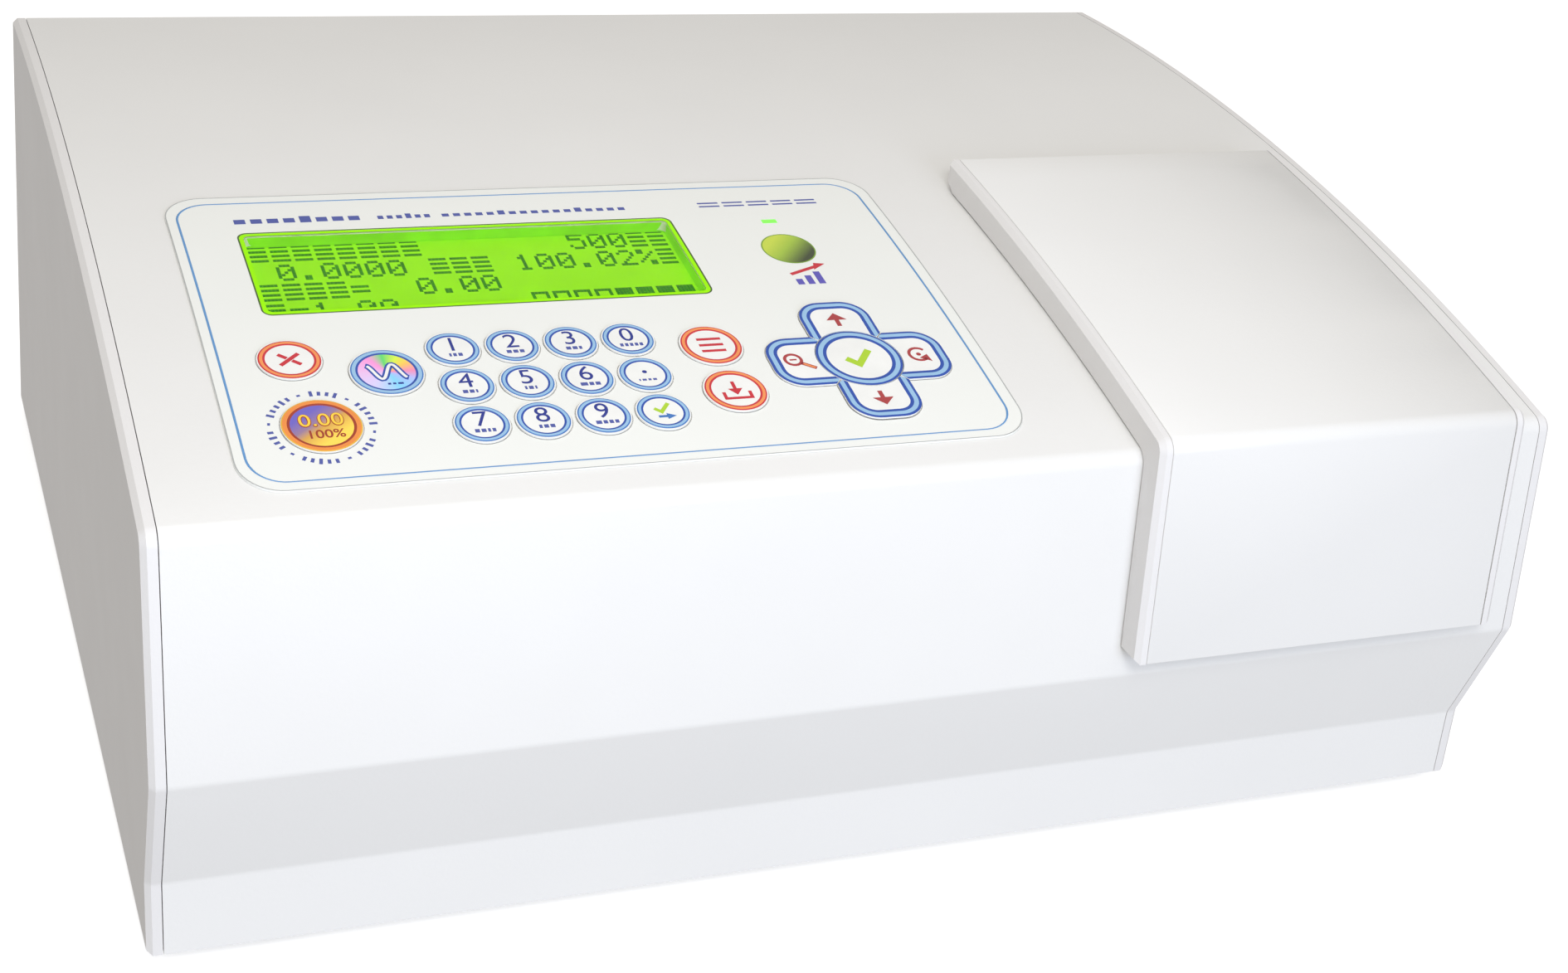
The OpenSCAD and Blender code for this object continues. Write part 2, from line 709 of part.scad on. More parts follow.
// ---- Sample compartment ----
rail_w = 3;
rail_h = 2.5;
beam_y = tub_front + tub_d/2;
block_w = 34;
cell_floor = 3;
carriage_z = tub_z + 0.4;
beam_z = carriage_z + cell_floor + beam_h;
carriage_l = cells*cell_pitch;
carriage_x = tub_x + tub_w/2;
lens_r = 5;

module sample_tub() {
    color("dimgray") difference() {
        along_x(tub_x - tub_wall, tub_x + tub_w + tub_wall) intersection() {
            profile(-sheet_t - wall_gap, -10);
            translate([tub_front - 30, tub_z - tub_wall]) square([tub_d + tub_wall + 30, 200]);
        }
        block([tub_x, tub_front, tub_z], [tub_x + tub_w, tub_back, back_top[1] + 20]);
        block([tub_x, y_fold - 60, mouth_low], [tub_x + tub_w, tub_back, back_top[1] + 20]);
        for (x = [tub_x - tub_wall - 1, tub_x + tub_w - 1]) translate([x, beam_y, beam_z])
            rotate([0, 90, 0]) cylinder(r = lens_r + 0.05, h = tub_wall + 2);
    }
    color("dimgray") for (s = [-1, 1]) translate([carriage_x + s*9, 0, 0])
        block([-rail_w/2, tub_front, tub_z - 0.5], [rail_w/2, tub_back, tub_z + rail_h]);
}

module beam_lenses() {
    color("lightcyan") for (x = [tub_x - tub_wall, tub_x + tub_w]) translate([x, beam_y, beam_z])
        rotate([0, 90, 0]) cylinder(r = lens_r, h = tub_wall);
}

// Carriage: a block with square slots for cuvettes, on two rails. Its first slot is in the beam.
module cuvette_carriage() {
    y1 = beam_y + cell_pitch/2;
    y0 = y1 - carriage_l;
    color("black") difference() {
        union() {
            block([carriage_x - block_w/2, y0, carriage_z],
                  [carriage_x + block_w/2, y1, carriage_z + carriage_h]);
            translate([carriage_x - block_w/2 + 4, y0 + 6, carriage_z + carriage_h])
                cylinder(r = 2.5, h = 12);
        }
        for (i = [0:cells - 1]) translate([carriage_x, beam_y - i*cell_pitch, 0]) {
            block([-cell_s/2, -cell_s/2, carriage_z + cell_floor],
                  [cell_s/2, cell_s/2, carriage_z + carriage_h + 1]);
            translate([-block_w, 0, beam_z]) rotate([0, 90, 0]) cylinder(r = 3, h = 2*block_w);
        }
        for (s = [-1, 1]) translate([carriage_x + s*9, 0, 0])
            block([-rail_w/2 - 0.3, y0 - 1, carriage_z - 1],
                  [rail_w/2 + 0.3, y1 + 1, tub_z + rail_h + 0.3]);
    }
}

// ---- Optical bench, to the left of the compartment ----
bench_x1 = tub_x - tub_wall - 8;
bench_w = 122;
bench_x0 = bench_x1 - bench_w;
bench_y0 = tub_front + 6;
bench_d = 118;
bench_y1 = bench_y0 + bench_d;
bench_wall = 4;
bench_z = floor_z + 16;
bench_h = beam_z + 18 - bench_z;
grating_at = [bench_x0 + 34, bench_y0 + 26];
shaft_r = 3;
shaft_fit = 0.05;
entry_x = bench_x0 + 76;
slit_r = 4;

module optics_bench() {
    color("gray") difference() {
        union() {
            block([bench_x0, bench_y0, bench_z], [bench_x1, bench_y1, bench_z + bench_h]);
            for (x = [bench_x0 + 8, bench_x1 - 8], y = [bench_y0 + 8, bench_y1 - 8])
                translate([x, y, floor_z]) cylinder(r = 5, h = bench_z - floor_z + 1);
        }
        block([bench_x0 + bench_wall, bench_y0 + bench_wall, bench_z + 6],
              [bench_x1 - bench_wall, bench_y1 - bench_wall, bench_z + bench_h + 1]);
        translate([bench_x1 - bench_wall - 1, beam_y, beam_z]) rotate([0, 90, 0])
            cylinder(r = slit_r, h = bench_wall + 2);
        translate([entry_x, bench_y1 + 1, beam_z]) rotate([90, 0, 0])
            cylinder(r = slit_r, h = bench_wall + 2);
        translate([grating_at[0], grating_at[1], bench_z - 1]) cylinder(r = shaft_r + shaft_fit, h = 9);
    }
}

module slit_plates() {
    slit_t = 0.8;
    side = 16;
    color("black") {
        difference() {
            block([bench_x1 - bench_wall - slit_t, beam_y - side/2, beam_z - side/2],
                  [bench_x1 - bench_wall, beam_y + side/2, beam_z + side/2]);
            block([bench_x1 - 20, beam_y - 0.5, beam_z - 4], [bench_x1, beam_y + 0.5, beam_z + 4]);
        }
        difference() {
            block([entry_x - side/2, bench_y1 - bench_wall - slit_t, beam_z - side/2],
                  [entry_x + side/2, bench_y1 - bench_wall, beam_z + side/2]);
            block([entry_x - 0.5, bench_y1 - 20, beam_z - 4], [entry_x + 0.5, bench_y1, beam_z + 4]);
        }
    }
}

// Concave mirrors on posts: one collimates the light on the grating, one focuses it on the exit.
module curved_mirror(x, y, turn) {
    translate([x, y, bench_z + 6]) rotate(turn) difference() {
        union() {
            cylinder(r = 7, h = 5);
            translate([-3, -15, 0]) cube([6, 30, beam_z - bench_z + 9]);
        }
        translate([-83, 0, beam_z - bench_z - 6]) sphere(r = 81, $fn = 96);
    }
}

module curved_mirrors() {
    color("silver") {
        curved_mirror(bench_x1 - 34, bench_y0 + 24, 115);
        curved_mirror(bench_x0 + 24, bench_y1 - 30, 20);
    }
}

// Diffraction grating on its turntable, carried on the stepper's shaft.
module grating_table() {
    z = bench_z + 6.6;
    translate([grating_at[0], grating_at[1], 0]) {
        color("dimgray") translate([0, 0, bench_z - 12]) cylinder(r = shaft_r, h = z - bench_z + 13);
        color("dimgray") translate([0, 0, z]) cylinder(r = 13, h = 4);
        color("dimgray") translate([-10, -4, z + 3]) cube([20, 4, beam_z - z + 9]);
        color("plum") translate([-9, 0, z + 4]) cube([18, 3, beam_z - z + 7]);
    }
}

module grating_motor() {
    h = bench_z - floor_z - 0.4;
    color("darkslategray") translate([grating_at[0], grating_at[1], floor_z]) difference() {
        union() {
            cylinder(r = 13, h = h);
            for (s = [-1, 1]) translate([s*15, 0, h - 1.5]) cylinder(r = 4, h = 1.5);
        }
        translate([0, 0, 2]) cylinder(r = shaft_r + shaft_fit, h = h);
    }
}

// ---- Lamp, behind the bench ----
lamp_w = 50;
lamp_d = 52;
lamp_h = beam_z + 26 - floor_z;
lamp_x0 = entry_x - lamp_w/2;
lamp_y0 = bench_y1 + 6;

module lamp_housing() {
    fin = 2;
    color("lightslategray") difference() {
        union() {
            block([lamp_x0, lamp_y0, floor_z], [lamp_x0 + lamp_w, lamp_y0 + lamp_d, floor_z + lamp_h]);
            for (i = [0:6]) translate([lamp_x0 + lamp_w - 1, lamp_y0 + 2 + i*7.5, floor_z])
                cube([9, fin, lamp_h]);
        }
        block([lamp_x0 + 5, lamp_y0 + 5, floor_z + 5],
              [lamp_x0 + lamp_w - 5, lamp_y0 + lamp_d - 5, floor_z + lamp_h + 1]);
        translate([entry_x, lamp_y0 + 6, beam_z]) rotate([90, 0, 0]) cylinder(r = 6, h = 8);
    }
}

module halogen_lamp() {
    translate([entry_x, lamp_y0 + lamp_d/2, floor_z + 5]) {
        color("ivory") cylinder(r = 9, h = beam_z - floor_z - 22);
        color("aliceblue") translate([0, 0, beam_z - floor_z - 22]) cylinder(r = 5, h = 20);
        color("aliceblue") translate([0, 0, beam_z - floor_z - 2]) sphere(r = 5);
    }
}

// ---- Electronics ----
board_t = 1.6;

module detector_board() {
    x = tub_x + tub_w + tub_wall;
    color("seagreen") block([x + 8, beam_y - 22, floor_z + 8], [x + 8 + board_t, beam_y + 22, beam_z + 20]);
    color("gold") translate([x + 0.3, beam_y, beam_z]) rotate([0, 90, 0]) cylinder(r = 6, h = 8);
    color("silver") for (y = [-16, 16]) translate([x + 4, beam_y + y - 4, floor_z])
        cube([4.5, 8, 16]);
}

module main_board() {
    x0 = -inner_w + 14;
    y0 = y_fold + 14;
    z = floor_z + 8;
    color("seagreen") block([x0, y0, z], [x0 + 118, y0 + 130, z + board_t]);
    color("dimgray") {
        block([x0 + 20, y0 + 24, z + 1], [x0 + 48, y0 + 52, z + 4]);
        block([x0 + 64, y0 + 30, z + 1], [x0 + 84, y0 + 44, z + 4]);
        block([x0 + 30, y0 + 88, z + 1], [x0 + 70, y0 + 94, z + 10]);
        block([x0 + 92, y0 + 70, z + 1], [x0 + 108, y0 + 110, z + 9]);
    }
    color("gold") for (x = [5, 113], y = [5, 125]) translate([x0 + x, y0 + y, floor_z])
        cylinder(r = 3, h = 9);
}

module power_supply() {
    x0 = -inner_w + 16;
    y0 = y_fold + 158;
    color("silver") difference() {
        block([x0, y0, floor_z], [x0 + 98, y0 + 84, floor_z + 38]);
        block([x0 + 1.5, y0 + 1.5, floor_z + 4], [x0 + 96.5, y0 + 82.5, floor_z + 36.5]);
        for (i = [0:11]) block([x0 + 8 + i*7, y0 + 10, floor_z + 34],
                               [x0 + 11 + i*7, y0 + 74, floor_z + 40]);
    }
}

fan_t = 15;
rotor_r = fan_s/2 - 4.5;

module fan_frame() {
    color("black") on_back(fan_at[0], fan_at[1]) translate([0, 0, -panel_t - 0.3 - fan_t])
        difference() {
            translate([-fan_s/2, -fan_s/2, 0]) cube([fan_s, fan_s, fan_t]);
            translate([0, 0, 2.4]) cylinder(r = rotor_r + 1.5, h = fan_t);
            for (a = [45:90:315]) rotate(a) translate([14, -11, -1]) cube([9, 22, 5]);
            translate([0, 0, -1]) cylinder(r = 2.05, h = 6);
            for (sx = [-1, 1], sy = [-1, 1]) translate([sx*fan_hole, sy*fan_hole, -1])
                cylinder(r = 1.95, h = fan_t + 2);
        }
}

module fan_rotor() {
    blades = 7;
    color("dimgray") on_back(fan_at[0], fan_at[1]) translate([0, 0, -panel_t - 0.3 - fan_t]) {
        translate([0, 0, 0.4]) cylinder(r = 2, h = 4);
        translate([0, 0, 3]) cylinder(r = 11, h = 10);
        for (i = [0:blades - 1]) rotate(i*360/blades) translate([10, -1, 3.6]) rotate([34, 0, 0])
            cube([rotor_r - 10.4, 1.4, 9.5]);
    }
}

// Mains inlet with the rocker switch in one module.
rocker_u = 16;

module power_inlet() {
    color("black") on_back(inlet_at[0], inlet_at[1]) difference() {
        union() {
            translate([-inlet_w/2 + 0.2, -inlet_h/2 + 0.2, -28]) cube([inlet_w - 0.4, inlet_h - 0.4, 28]);
            translate([-inlet_w/2 - 2, -inlet_h/2 - 2, 0]) cube([inlet_w + 4, inlet_h + 4, 2]);
        }
        translate([-12, -inlet_h/2 + 4, -18]) cube([24, 19, 30]);
        translate([-10, rocker_u - 9.5, -14]) cube([20, 21, 30]);
    }
    color("silver") on_back(inlet_at[0], inlet_at[1]) translate([0, -inlet_h/2 + 13.5, -19])
        for (x = [-7, 0, 7]) translate([x - 1, x == 0 ? 1 : -4, 0]) cube([2, 4, 14]);
}

rocker_depth = 5;
rocker_tilt = 7;

// Rocker, tilted to its off side: a barrel on the pivot under two faces that meet in a shallow V.
module rocker_switch() {
    color("black") on_back(inlet_at[0], inlet_at[1])
        translate([-9.4, rocker_u + 1, -rocker_depth]) rotate([-rocker_tilt, 0, 0])
            rotate([90, 0, 90]) linear_extrude(18.8) {
                circle(4);
                polygon([[-9, 1], [9, 1], [9, rocker_depth + 2], [0, rocker_depth + 0.6],
                         [-9, rocker_depth + 2]]);
            }
}

module serial_socket() {
    color("silver") on_back(port_at[0], port_at[1]) difference() {
        union() {
            translate([-port_w/2, -port_h/2 - 0.5, -panel_t - 2.3])
                cube([port_w, port_h + 1, 2]);
            translate([-port_w/2 + 5.5, -port_h/2 + 0.5, -panel_t - 3]) cube([port_w - 11, port_h - 1, 8]);
            translate([-port_w/2 + 4, -port_h/2, -panel_t - 14]) cube([port_w - 8, port_h, 12]);
        }
        translate([-port_w/2 + 6.5, -port_h/2 + 1.5, -2]) cube([port_w - 13, port_h - 3, 12]);
    }
}

base_tray();
left_side_plate();
right_side_plate();
top_cover();
rear_panel();
panel_screws();
feet();
keypad_overlay();
display_window();
lcd_frame();
lcd_glass();
status_led();
keypad_circuit();
lid_cover();
lid_left_plate();
lid_right_plate();
lid_seal();
lid_hinge_leaf();
hinge_bracket();
hinge_pin();
sample_tub();
beam_lenses();
cuvette_carriage();
optics_bench();
slit_plates();
curved_mirrors();
grating_table();
grating_motor();
lamp_housing();
halogen_lamp();
detector_board();
main_board();
power_supply();
fan_frame();
fan_rotor();
power_inlet();
rocker_switch();
serial_socket();
for (i = [0:11]) round_key(digit_at(i)[0], digit_at(i)[1], key_r);
for (k = ROUND_KEYS) round_key(k[1], y_fold + k[2], k[3]);
for (i = [0:3]) lobe_key(i);
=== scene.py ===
# %% [markdown]
# # A benchtop spectrophotometer
# The instrument is a bent white cover between two bevelled side plates. A hinged lid closes the
# sample compartment on the right, and a printed film with a display and round keys lies on the left.
# Its shapes come from the CAD frame. This script gives every piece its finish and adds what is
# printed on it: key rings, digits, icons, the display's characters and the thin line round the film.

# %% Load the frame
from math import sin, cos, asin, pi, sqrt, radians, hypot
import bpy
from mathutils import Matrix, Vector


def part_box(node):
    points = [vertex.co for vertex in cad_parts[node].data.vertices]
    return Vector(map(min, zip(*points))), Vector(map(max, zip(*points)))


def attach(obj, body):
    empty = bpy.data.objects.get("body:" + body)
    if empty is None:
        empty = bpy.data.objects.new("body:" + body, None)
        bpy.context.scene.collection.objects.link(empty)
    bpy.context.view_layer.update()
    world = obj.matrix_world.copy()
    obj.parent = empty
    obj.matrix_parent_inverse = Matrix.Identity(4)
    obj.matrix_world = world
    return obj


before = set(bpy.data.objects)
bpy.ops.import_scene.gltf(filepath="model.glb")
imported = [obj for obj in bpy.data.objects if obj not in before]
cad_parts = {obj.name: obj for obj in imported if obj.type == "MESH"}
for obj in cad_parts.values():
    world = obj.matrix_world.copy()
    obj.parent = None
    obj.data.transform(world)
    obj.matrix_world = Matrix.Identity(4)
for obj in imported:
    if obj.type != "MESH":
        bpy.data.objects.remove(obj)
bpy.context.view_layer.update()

# %% [markdown]
# ## Camera and studio
# A camera is a position and two directions: where it looks, and which way is right. A matrix built
# from the two holds a slight roll as well, which angles round one axis at a time would hide.
# The camera comes first, because it says which details will be seen from close by.

# %% Camera
def add_object(name, data):
    made = bpy.data.objects.new(name, data)
    bpy.context.scene.collection.objects.link(made)
    return made

def aim_camera(place, right, forward, lens, shift):
    right, forward = Vector(right), Vector(forward)
    down = forward.cross(right)
    turn = Matrix((right, -down, -forward)).transposed().to_4x4()
    camera = add_object("camera", bpy.data.cameras.new("camera"))
    camera.matrix_world = Matrix.Translation(place) @ turn
    camera.data.lens = lens
    camera.data.sensor_width = 36.0
    camera.data.shift_x, camera.data.shift_y = shift
    camera.data.clip_start = 0.02
    bpy.context.scene.camera = camera
    return camera

CAMERA_PLACE = (-0.255804, -0.620023, 0.383793)
CAMERA_RIGHT = (0.9351358, -0.3409073, 0.0964534)
CAMERA_FORWARD = (0.3454727, 0.8170636, -0.4615796)
LENS_MM, LENS_SHIFT = 52.626, (0.04914, 0.00960)
camera = aim_camera(CAMERA_PLACE, CAMERA_RIGHT, CAMERA_FORWARD, LENS_MM, LENS_SHIFT)
print("camera at", [round(v, 3) for v in camera.location])

# %% [markdown]
# The light is a white studio: an even sky, a large soft lamp in front that makes the front the
# brightest face, a near one beside the camera, so that what is close is lighter, and a weak one above.
# None stands at the left, so the left side stays the darkest.
# The floor curves up behind, so the ground is white and has no horizon. It sends no light back up,
# as if it lay far below, so that the band which faces down stays darker than the front.
# The standard view transform keeps white paint white.

# %% Lights and floor
def soft_lamp(name, place, target, size, power, tint):
    lamp = add_object(name, bpy.data.lights.new(name, "AREA"))
    lamp.data.shape = "DISK"
    lamp.data.size = size
    lamp.data.energy = power
    lamp.data.color = tint
    lamp.location = place
    lamp.visible_camera = False
    lamp.rotation_euler = (Vector(target) - Vector(place)).to_track_quat("-Z", "Y").to_euler()
    return lamp

middle = (0.0, 0.0, 0.08)
soft_lamp("front_lamp", (0.1, -1.5, 0.35), middle, 0.8, 9.6, (0.72, 0.81, 1.0))
soft_lamp("near_lamp", (-0.18, -0.72, 0.62), middle, 0.3, 2.5, (0.97, 0.98, 1.0))
soft_lamp("top_lamp", (0.0, 0.0, 1.4), middle, 0.8, 3.2, (1.0, 0.96, 0.88))

SKY_LIGHT = 0.56                   # strength of the sky, and of the floor's own light
world = bpy.data.worlds.new("studio")
world.use_nodes = True
sky = world.node_tree.nodes["Background"]
sky.inputs["Color"].default_value = (1.0, 0.98, 0.96, 1)
sky.inputs["Strength"].default_value = SKY_LIGHT
bpy.context.scene.world = world
bpy.context.scene.view_settings.view_transform = "Standard"

FLOOR_GAP = 0.0002                 # the floor lies this far below the feet

def sweep_floor(width, front, back, radius, height, steps=16):
    """A floor that bends up into a wall, as one strip of quads."""
    angles = [pi/2*i/steps for i in range(steps + 1)]
    bend = [(back - radius + radius*sin(a), radius - radius*cos(a)) for a in angles]
    line = [(front, 0.0)] + bend + [(back, height)]
    verts = [(x, y, z - FLOOR_GAP) for y, z in line for x in (-width, width)]
    faces = [(2*i, 2*i + 1, 2*i + 3, 2*i + 2) for i in range(len(line) - 1)]
    mesh = bpy.data.meshes.new("floor")
    mesh.from_pydata(verts, [], faces)
    mesh.polygons.foreach_set("use_smooth", [True]*len(faces))
    return mesh

floor_strip = sweep_floor(width=9.0, front=-9.0, back=5.0, radius=1.5, height=5.0)
floor = add_object("floor", floor_strip)
pale = bpy.data.materials.new("pale_floor")
pale.use_nodes = True
pale_shader = pale.node_tree.nodes["Principled BSDF"]
pale_shader.inputs["Base Color"].default_value = (0.8, 0.8, 0.8, 1)
pale_shader.inputs["Roughness"].default_value = 0.8
pale_shader.inputs["Emission Color"].default_value = (1, 1, 1, 1)
pale_shader.inputs["Emission Strength"].default_value = SKY_LIGHT
floor.data.materials.append(pale)
floor.visible_diffuse = False
floor.visible_glossy = False

# %% [markdown]
# ## Finishes
# A finish is a small node tree. Most of them share three layers: colour that drifts a little over a
# few centimetres, gloss that drifts at another scale, and a fine bump for the surface's own grain.
# All read Object coordinates, which are metres of the real piece, so each grain has its real size.

# %% Helpers for a finish
FINISH = {}

def srgb(r, g, b):
    """A screen colour of 0 to 255 as the linear colour that a shader wants."""
    linear = [c/255/12.92 if c <= 10 else ((c/255 + 0.055)/1.055)**2.4 for c in (r, g, b)]
    return (*linear, 1.0)

def node(tree, kind, **settings):
    made = tree.nodes.new(kind)
    for name, value in settings.items():
        setattr(made, name, value)
    return made

def wire(tree, *links):
    """Joins sockets, each link given as (node, output, node, input)."""
    for giver, output, taker, entry in links:
        tree.links.new(giver.outputs[output], taker.inputs[entry])

def noise(tree, scale, detail=2.0, stretch=(1, 1, 1)):
    """Noise in Object coordinates; scale is in turns per metre."""
    place = node(tree, "ShaderNodeTexCoord")
    mapping = node(tree, "ShaderNodeMapping")
    mapping.inputs["Scale"].default_value = stretch
    texture = node(tree, "ShaderNodeTexNoise")
    texture.inputs["Scale"].default_value = scale
    texture.inputs["Detail"].default_value = detail
    wire(tree, (place, "Object", mapping, "Vector"), (mapping, "Vector", texture, "Vector"))
    return texture.outputs["Fac"]

def ramp(tree, source, stops):
    made = node(tree, "ShaderNodeValToRGB")
    for _ in range(len(stops) - 2):
        made.color_ramp.elements.new(0.5)
    for element, (position, colour) in zip(made.color_ramp.elements, stops):
        element.position, element.color = position, colour
    tree.links.new(source, made.inputs["Fac"])
    return made.outputs["Color"]

def spread(tree, source, low, high):
    """Turns a 0.3 to 0.7 noise into a value between low and high."""
    made = node(tree, "ShaderNodeMapRange")
    for name, value in (("From Min", 0.3), ("From Max", 0.7), ("To Min", low), ("To Max", high)):
        made.inputs[name].default_value = value
    tree.links.new(source, made.inputs["Value"])
    return made.outputs["Result"]

def shade(colour, factor):
    return tuple(c*factor for c in colour[:3]) + (1.0,)

GLOSS_TURNS = 3.1                  # the gloss drifts this many times faster than the colour

def finish(name, colour, drift, gloss, grain, drift_scale, stretch=(1, 1, 1), grain_detail=2.0, **sockets):
    """A painted or moulded surface: drifting colour and gloss, and a fine grain.

    The grain is (turns per metre, height in metres), and the gloss is (lowest, highest) roughness."""
    material = bpy.data.materials.new(name)
    material.use_nodes = True
    tree = material.node_tree
    shader = tree.nodes["Principled BSDF"]
    slow = noise(tree, drift_scale, 3.0, stretch)
    drifting = ramp(tree, slow, [(0.3, shade(colour, 1 - drift)), (0.7, colour)])
    tree.links.new(drifting, shader.inputs["Base Color"])
    quick = noise(tree, drift_scale*GLOSS_TURNS, 2.0, stretch)
    tree.links.new(spread(tree, quick, *gloss), shader.inputs["Roughness"])
    bump = node(tree, "ShaderNodeBump")
    bump.inputs["Strength"].default_value = 1.0
    bump.inputs["Distance"].default_value = grain[1]
    tree.links.new(noise(tree, grain[0], grain_detail, stretch), bump.inputs["Height"])
    wire(tree, (bump, "Normal", shader, "Normal"))
    for socket, value in sockets.items():
        shader.inputs[socket.replace("_", " ")].default_value = value
    material.diffuse_color = colour
    FINISH[name] = material
    return material

# %% [markdown]
# The case is powder coated steel: satin white with a fine orange peel, about a bump each millimetre.
# The side plates are the same paint, a shade greyer. Inside, the sheet is zinc plated, the bench is a
# painted casting, and the compartment and the carriage are matt black so that no light strays.

# %% Case and metal finishes
PLAIN = (1, 1, 1)
ROLLED_X, BRUSHED_X, TURNED_Y = (0.15, 1, 1), (0.1, 1, 1), (1, 0.05, 1)
# name: colour, drift of the colour, roughness, grain, turns per metre of the drift, stretch
METALS_AND_PAINTS = {
    "white_paint": (srgb(229, 228, 225), 0.02, (0.30, 0.40), (750, 0.000035), 14, PLAIN),
    "plate_paint": (srgb(225, 223, 221), 0.02, (0.42, 0.52), (750, 0.000035), 14, PLAIN),
    "zinc_sheet": (srgb(188, 192, 196), 0.12, (0.28, 0.42), (160, 0.00001), 60, ROLLED_X),
    "turned_steel": (srgb(205, 206, 208), 0.08, (0.18, 0.30), (1400, 0.00001), 90, TURNED_Y),
    "machined_aluminium": (srgb(200, 202, 205), 0.08, (0.25, 0.36), (900, 0.00001), 70, BRUSHED_X),
    "bench_casting": (srgb(74, 77, 82), 0.2, (0.55, 0.7), (420, 0.00018), 40, PLAIN),
    "black_moulding": (srgb(30, 30, 32), 0.2, (0.42, 0.55), (1600, 0.00003), 30, PLAIN),
    "matt_black": (srgb(24, 24, 26), 0.25, (0.6, 0.75), (1100, 0.00005), 35, PLAIN),
    "anodised_black": (srgb(30, 31, 34), 0.2, (0.32, 0.45), (1200, 0.00001), 60, BRUSHED_X),
    "rubber": (srgb(34, 34, 35), 0.25, (0.7, 0.85), (900, 0.00006), 60, PLAIN),
    "overlay_film": (srgb(233, 234, 229), 0.012, (0.42, 0.5), (2600, 0.000012), 20, PLAIN),
    "key_film": (srgb(236, 236, 232), 0.012, (0.36, 0.44), (2600, 0.00001), 20, PLAIN)}
EXTRAS = {
    "white_paint": {"Coat_Weight": 0.25, "Coat_Roughness": 0.22},
    "plate_paint": {"Coat_Weight": 0.08, "Coat_Roughness": 0.3},
    "zinc_sheet": {"Metallic": 1.0},
    "turned_steel": {"Metallic": 1.0},
    "machined_aluminium": {"Metallic": 1.0},
    "bench_casting": {"grain_detail": 6.0},
    "matt_black": {"grain_detail": 5.0},
    "anodised_black": {"Metallic": 0.6},
    "rubber": {"grain_detail": 5.0}}
for name, settings in METALS_AND_PAINTS.items():
    finish(name, *settings, **EXTRAS.get(name, {}))
print("finishes so far:", len(FINISH))

# %% [markdown]
# Foam, boards and optics need a pattern of their own. Foam is a field of tiny cells, which Voronoi
# makes. A circuit board is green lacquer over straight copper tracks, which a brick pattern hints at.
# Glass pieces are clear shaders, and a mirror is smooth metal with a faint blue tint.

# %% Patterned finishes
FINE_GRAIN = 0.00001               # height of the faintest grain, in metres

def pattern_finish(name, base, mark, kind, scale, height, gloss, metallic=0.0):
    material = finish(name, base, 0.1, gloss, (900, FINE_GRAIN), 40, Metallic=metallic)
    tree = material.node_tree
    shader = tree.nodes["Principled BSDF"]
    place = node(tree, "ShaderNodeTexCoord")
    texture = node(tree, kind)
    texture.inputs["Scale"].default_value = scale
    wire(tree, (place, "Object", texture, "Vector"))
    out = texture.outputs["Distance"] if kind == "ShaderNodeTexVoronoi" else texture.outputs["Fac"]
    tree.links.new(ramp(tree, out, [(0.25, base), (0.6, mark)]), shader.inputs["Base Color"])
    bump = next(n for n in tree.nodes if n.bl_idname == "ShaderNodeBump")
    bump.inputs["Distance"].default_value = height
    tree.links.new(out, bump.inputs["Height"])

pattern_finish("seal_foam", srgb(20, 20, 22), srgb(52, 52, 55),
               "ShaderNodeTexVoronoi", 900, 0.0003, (0.8, 0.9))
pattern_finish("circuit_board", srgb(10, 78, 46), srgb(22, 112, 66),
               "ShaderNodeTexBrick", 160, 0.00004, (0.25, 0.35))
pattern_finish("grating_ruling", srgb(120, 130, 160), srgb(190, 200, 215),
               "ShaderNodeTexWave", 900, FINE_GRAIN, (0.1, 0.15), metallic=1.0)

def clear_finish(name, tint, rough, ior):
    material = finish(name, tint, 0.01, (rough, rough + 0.02), (300, 0.000002), 20)
    shader = material.node_tree.nodes["Principled BSDF"]
    shader.inputs["Transmission Weight"].default_value = 1.0
    shader.inputs["IOR"].default_value = ior

clear_finish("clear_window", srgb(252, 255, 240), 0.02, ior=1.12)
clear_finish("lens_glass", srgb(232, 246, 250), 0.01, ior=1.46)
finish("mirror_silver", srgb(226, 230, 236), 0.02, (0.03, 0.05), (200, 0.000001), 30, Metallic=1.0)

# %% Lit and printed finishes
def glow(name, strength):
    """Lets a finish give out its own colour, as a lit display does."""
    shader = FINISH[name].node_tree.nodes["Principled BSDF"]
    source = shader.inputs["Base Color"].links[0].from_socket
    FINISH[name].node_tree.links.new(source, shader.inputs["Emission Color"])
    shader.inputs["Emission Strength"].default_value = strength

LOW_SHEEN = {"Specular_IOR_Level": 0.1}
finish("display_lime", srgb(141, 217, 0), 0.08, (0.35, 0.45), (400, FINE_GRAIN), 70, **LOW_SHEEN)
# the liner's green glows: painted light that lifts the shade inside the window's opening
finish("display_edge", srgb(112, 190, 4), 0.2, (0.4, 0.5), (500, 0.00002), 80, **LOW_SHEEN)
finish("display_dots", srgb(50, 142, 8), 0.1, (0.35, 0.45), (600, FINE_GRAIN), 60, **LOW_SHEEN)
finish("lamp_green", srgb(110, 215, 70), 0.08, (0.2, 0.3), (600, FINE_GRAIN), 200)
for name, strength in (("display_lime", 0.32), ("display_edge", 0.7), ("lamp_green", 0.8)):
    glow(name, strength)
finish("label_foil", srgb(196, 199, 202), 0.06, (0.3, 0.4), (1500, FINE_GRAIN), 90, BRUSHED_X, Metallic=0.8)
finish("lamp_glass_frost", srgb(235, 232, 220), 0.05, (0.2, 0.3), (900, FINE_GRAIN), 60)
print("patterned finishes made:", len(FINISH))

